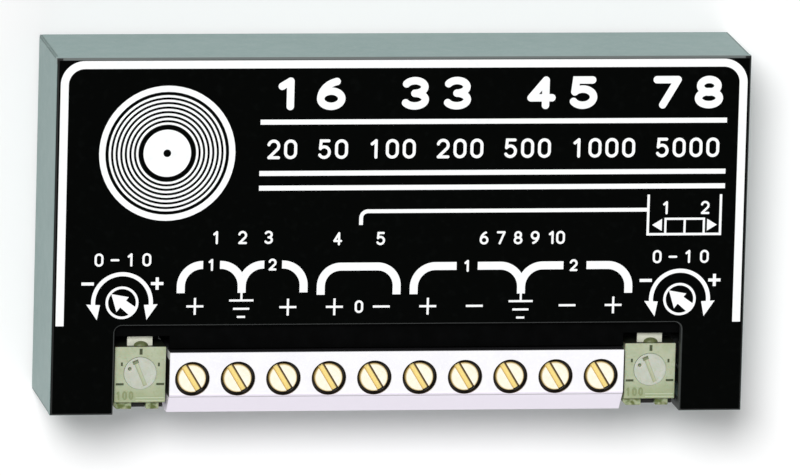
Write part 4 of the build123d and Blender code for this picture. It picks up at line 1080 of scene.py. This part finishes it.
def add_camera():
    """A long lens high over the face, leaning a little to the left and rear."""
    toward = Vector((*map(math.sin, CAMERA_LEAN), 1)).normalized()
    right = (-toward).cross(Vector((0, 1, 0))).normalized()
    up = right.cross(-toward)
    turn = Matrix.Rotation(CAMERA_ROLL, 3, toward)
    right, up = turn @ right, turn @ up
    data = bpy.data.cameras.new("camera")
    data.lens = CAMERA_LENS
    data.clip_start = CAMERA_NEAR * MM
    data.clip_end = CAMERA_FAR * MM
    camera = in_scene("camera", data)
    place = (Vector(CAMERA_TARGET) + toward * CAMERA_DISTANCE) * MM
    camera.matrix_world = Matrix.Translation(place) @ Matrix((right, up, toward)).transposed().to_4x4()
    bpy.context.scene.camera = camera


def add_lights():
    """A soft key light from the rear left, a weak fill from the front right and a pale sky."""
    for name, (lean, strength, size) in (("key", KEY_LIGHT), ("fill", FILL_LIGHT)):
        data = bpy.data.lights.new(name, "SUN")
        data.energy = strength
        data.angle = size
        lamp = in_scene(name, data)
        lamp.rotation_euler = Vector((*lean, 1)).to_track_quat("Z", "Y").to_euler()
    world = bpy.data.worlds.new("sky")
    world.use_nodes = True
    sky = world.node_tree.nodes["Background"].inputs
    sky["Color"].default_value = (1, 1, 1, 1)
    sky["Strength"].default_value = SKY_STRENGTH
    bpy.context.scene.world = world
    bpy.context.scene.view_settings.view_transform = "Standard"


def add_floor(material):
    """The plain pale surface that the module lies on."""
    half = FLOOR_HALF_WIDTH * MM
    low = -FLOOR_DROP * MM
    mesh = bpy.data.meshes.new("floor")
    corners = [(-half, -half, low), (half, -half, low), (half, half, low), (-half, half, low)]
    mesh.from_pydata(corners, [], [(0, 1, 2, 3)])
    mesh.materials.append(material)
    floor = in_scene("floor", mesh)


finishes = {finish.name: finish.material for finish in (
    case_paint(), terminal_white(), brass(), trimmer_plastic(), rotor_plastic(), backdrop(),
    *plain_finishes())}
paint, ink = finishes["case_paint"], finishes["white_ink"]
dress_frame_nodes(finishes)
softened("case_cover", CASE_EDGE, paint)
softened("face_label", FILM_EDGE, finishes["label_film"], change=lower_the_film)
softened("terminal_housing", CASE_EDGE, finishes["terminal_white"])
softened("base_plate", CASE_EDGE, finishes["base_paint"])
add_corner_seams(finishes["seam_paint"])
for print_part in (print_border, print_roundel, print_headings, print_switch_legend,
                   print_brackets, print_gain_symbols):
    print_part(ink)
add_terminal_screws(finishes["brass"])
for side in ("left", "right"):
    add_trimmer(side, finishes)
add_base_screws(finishes["zinc_steel"])
add_switch_slider(finishes["switch_slider_plastic"])
add_floor(finishes["studio_floor"])
add_lights()
add_camera()
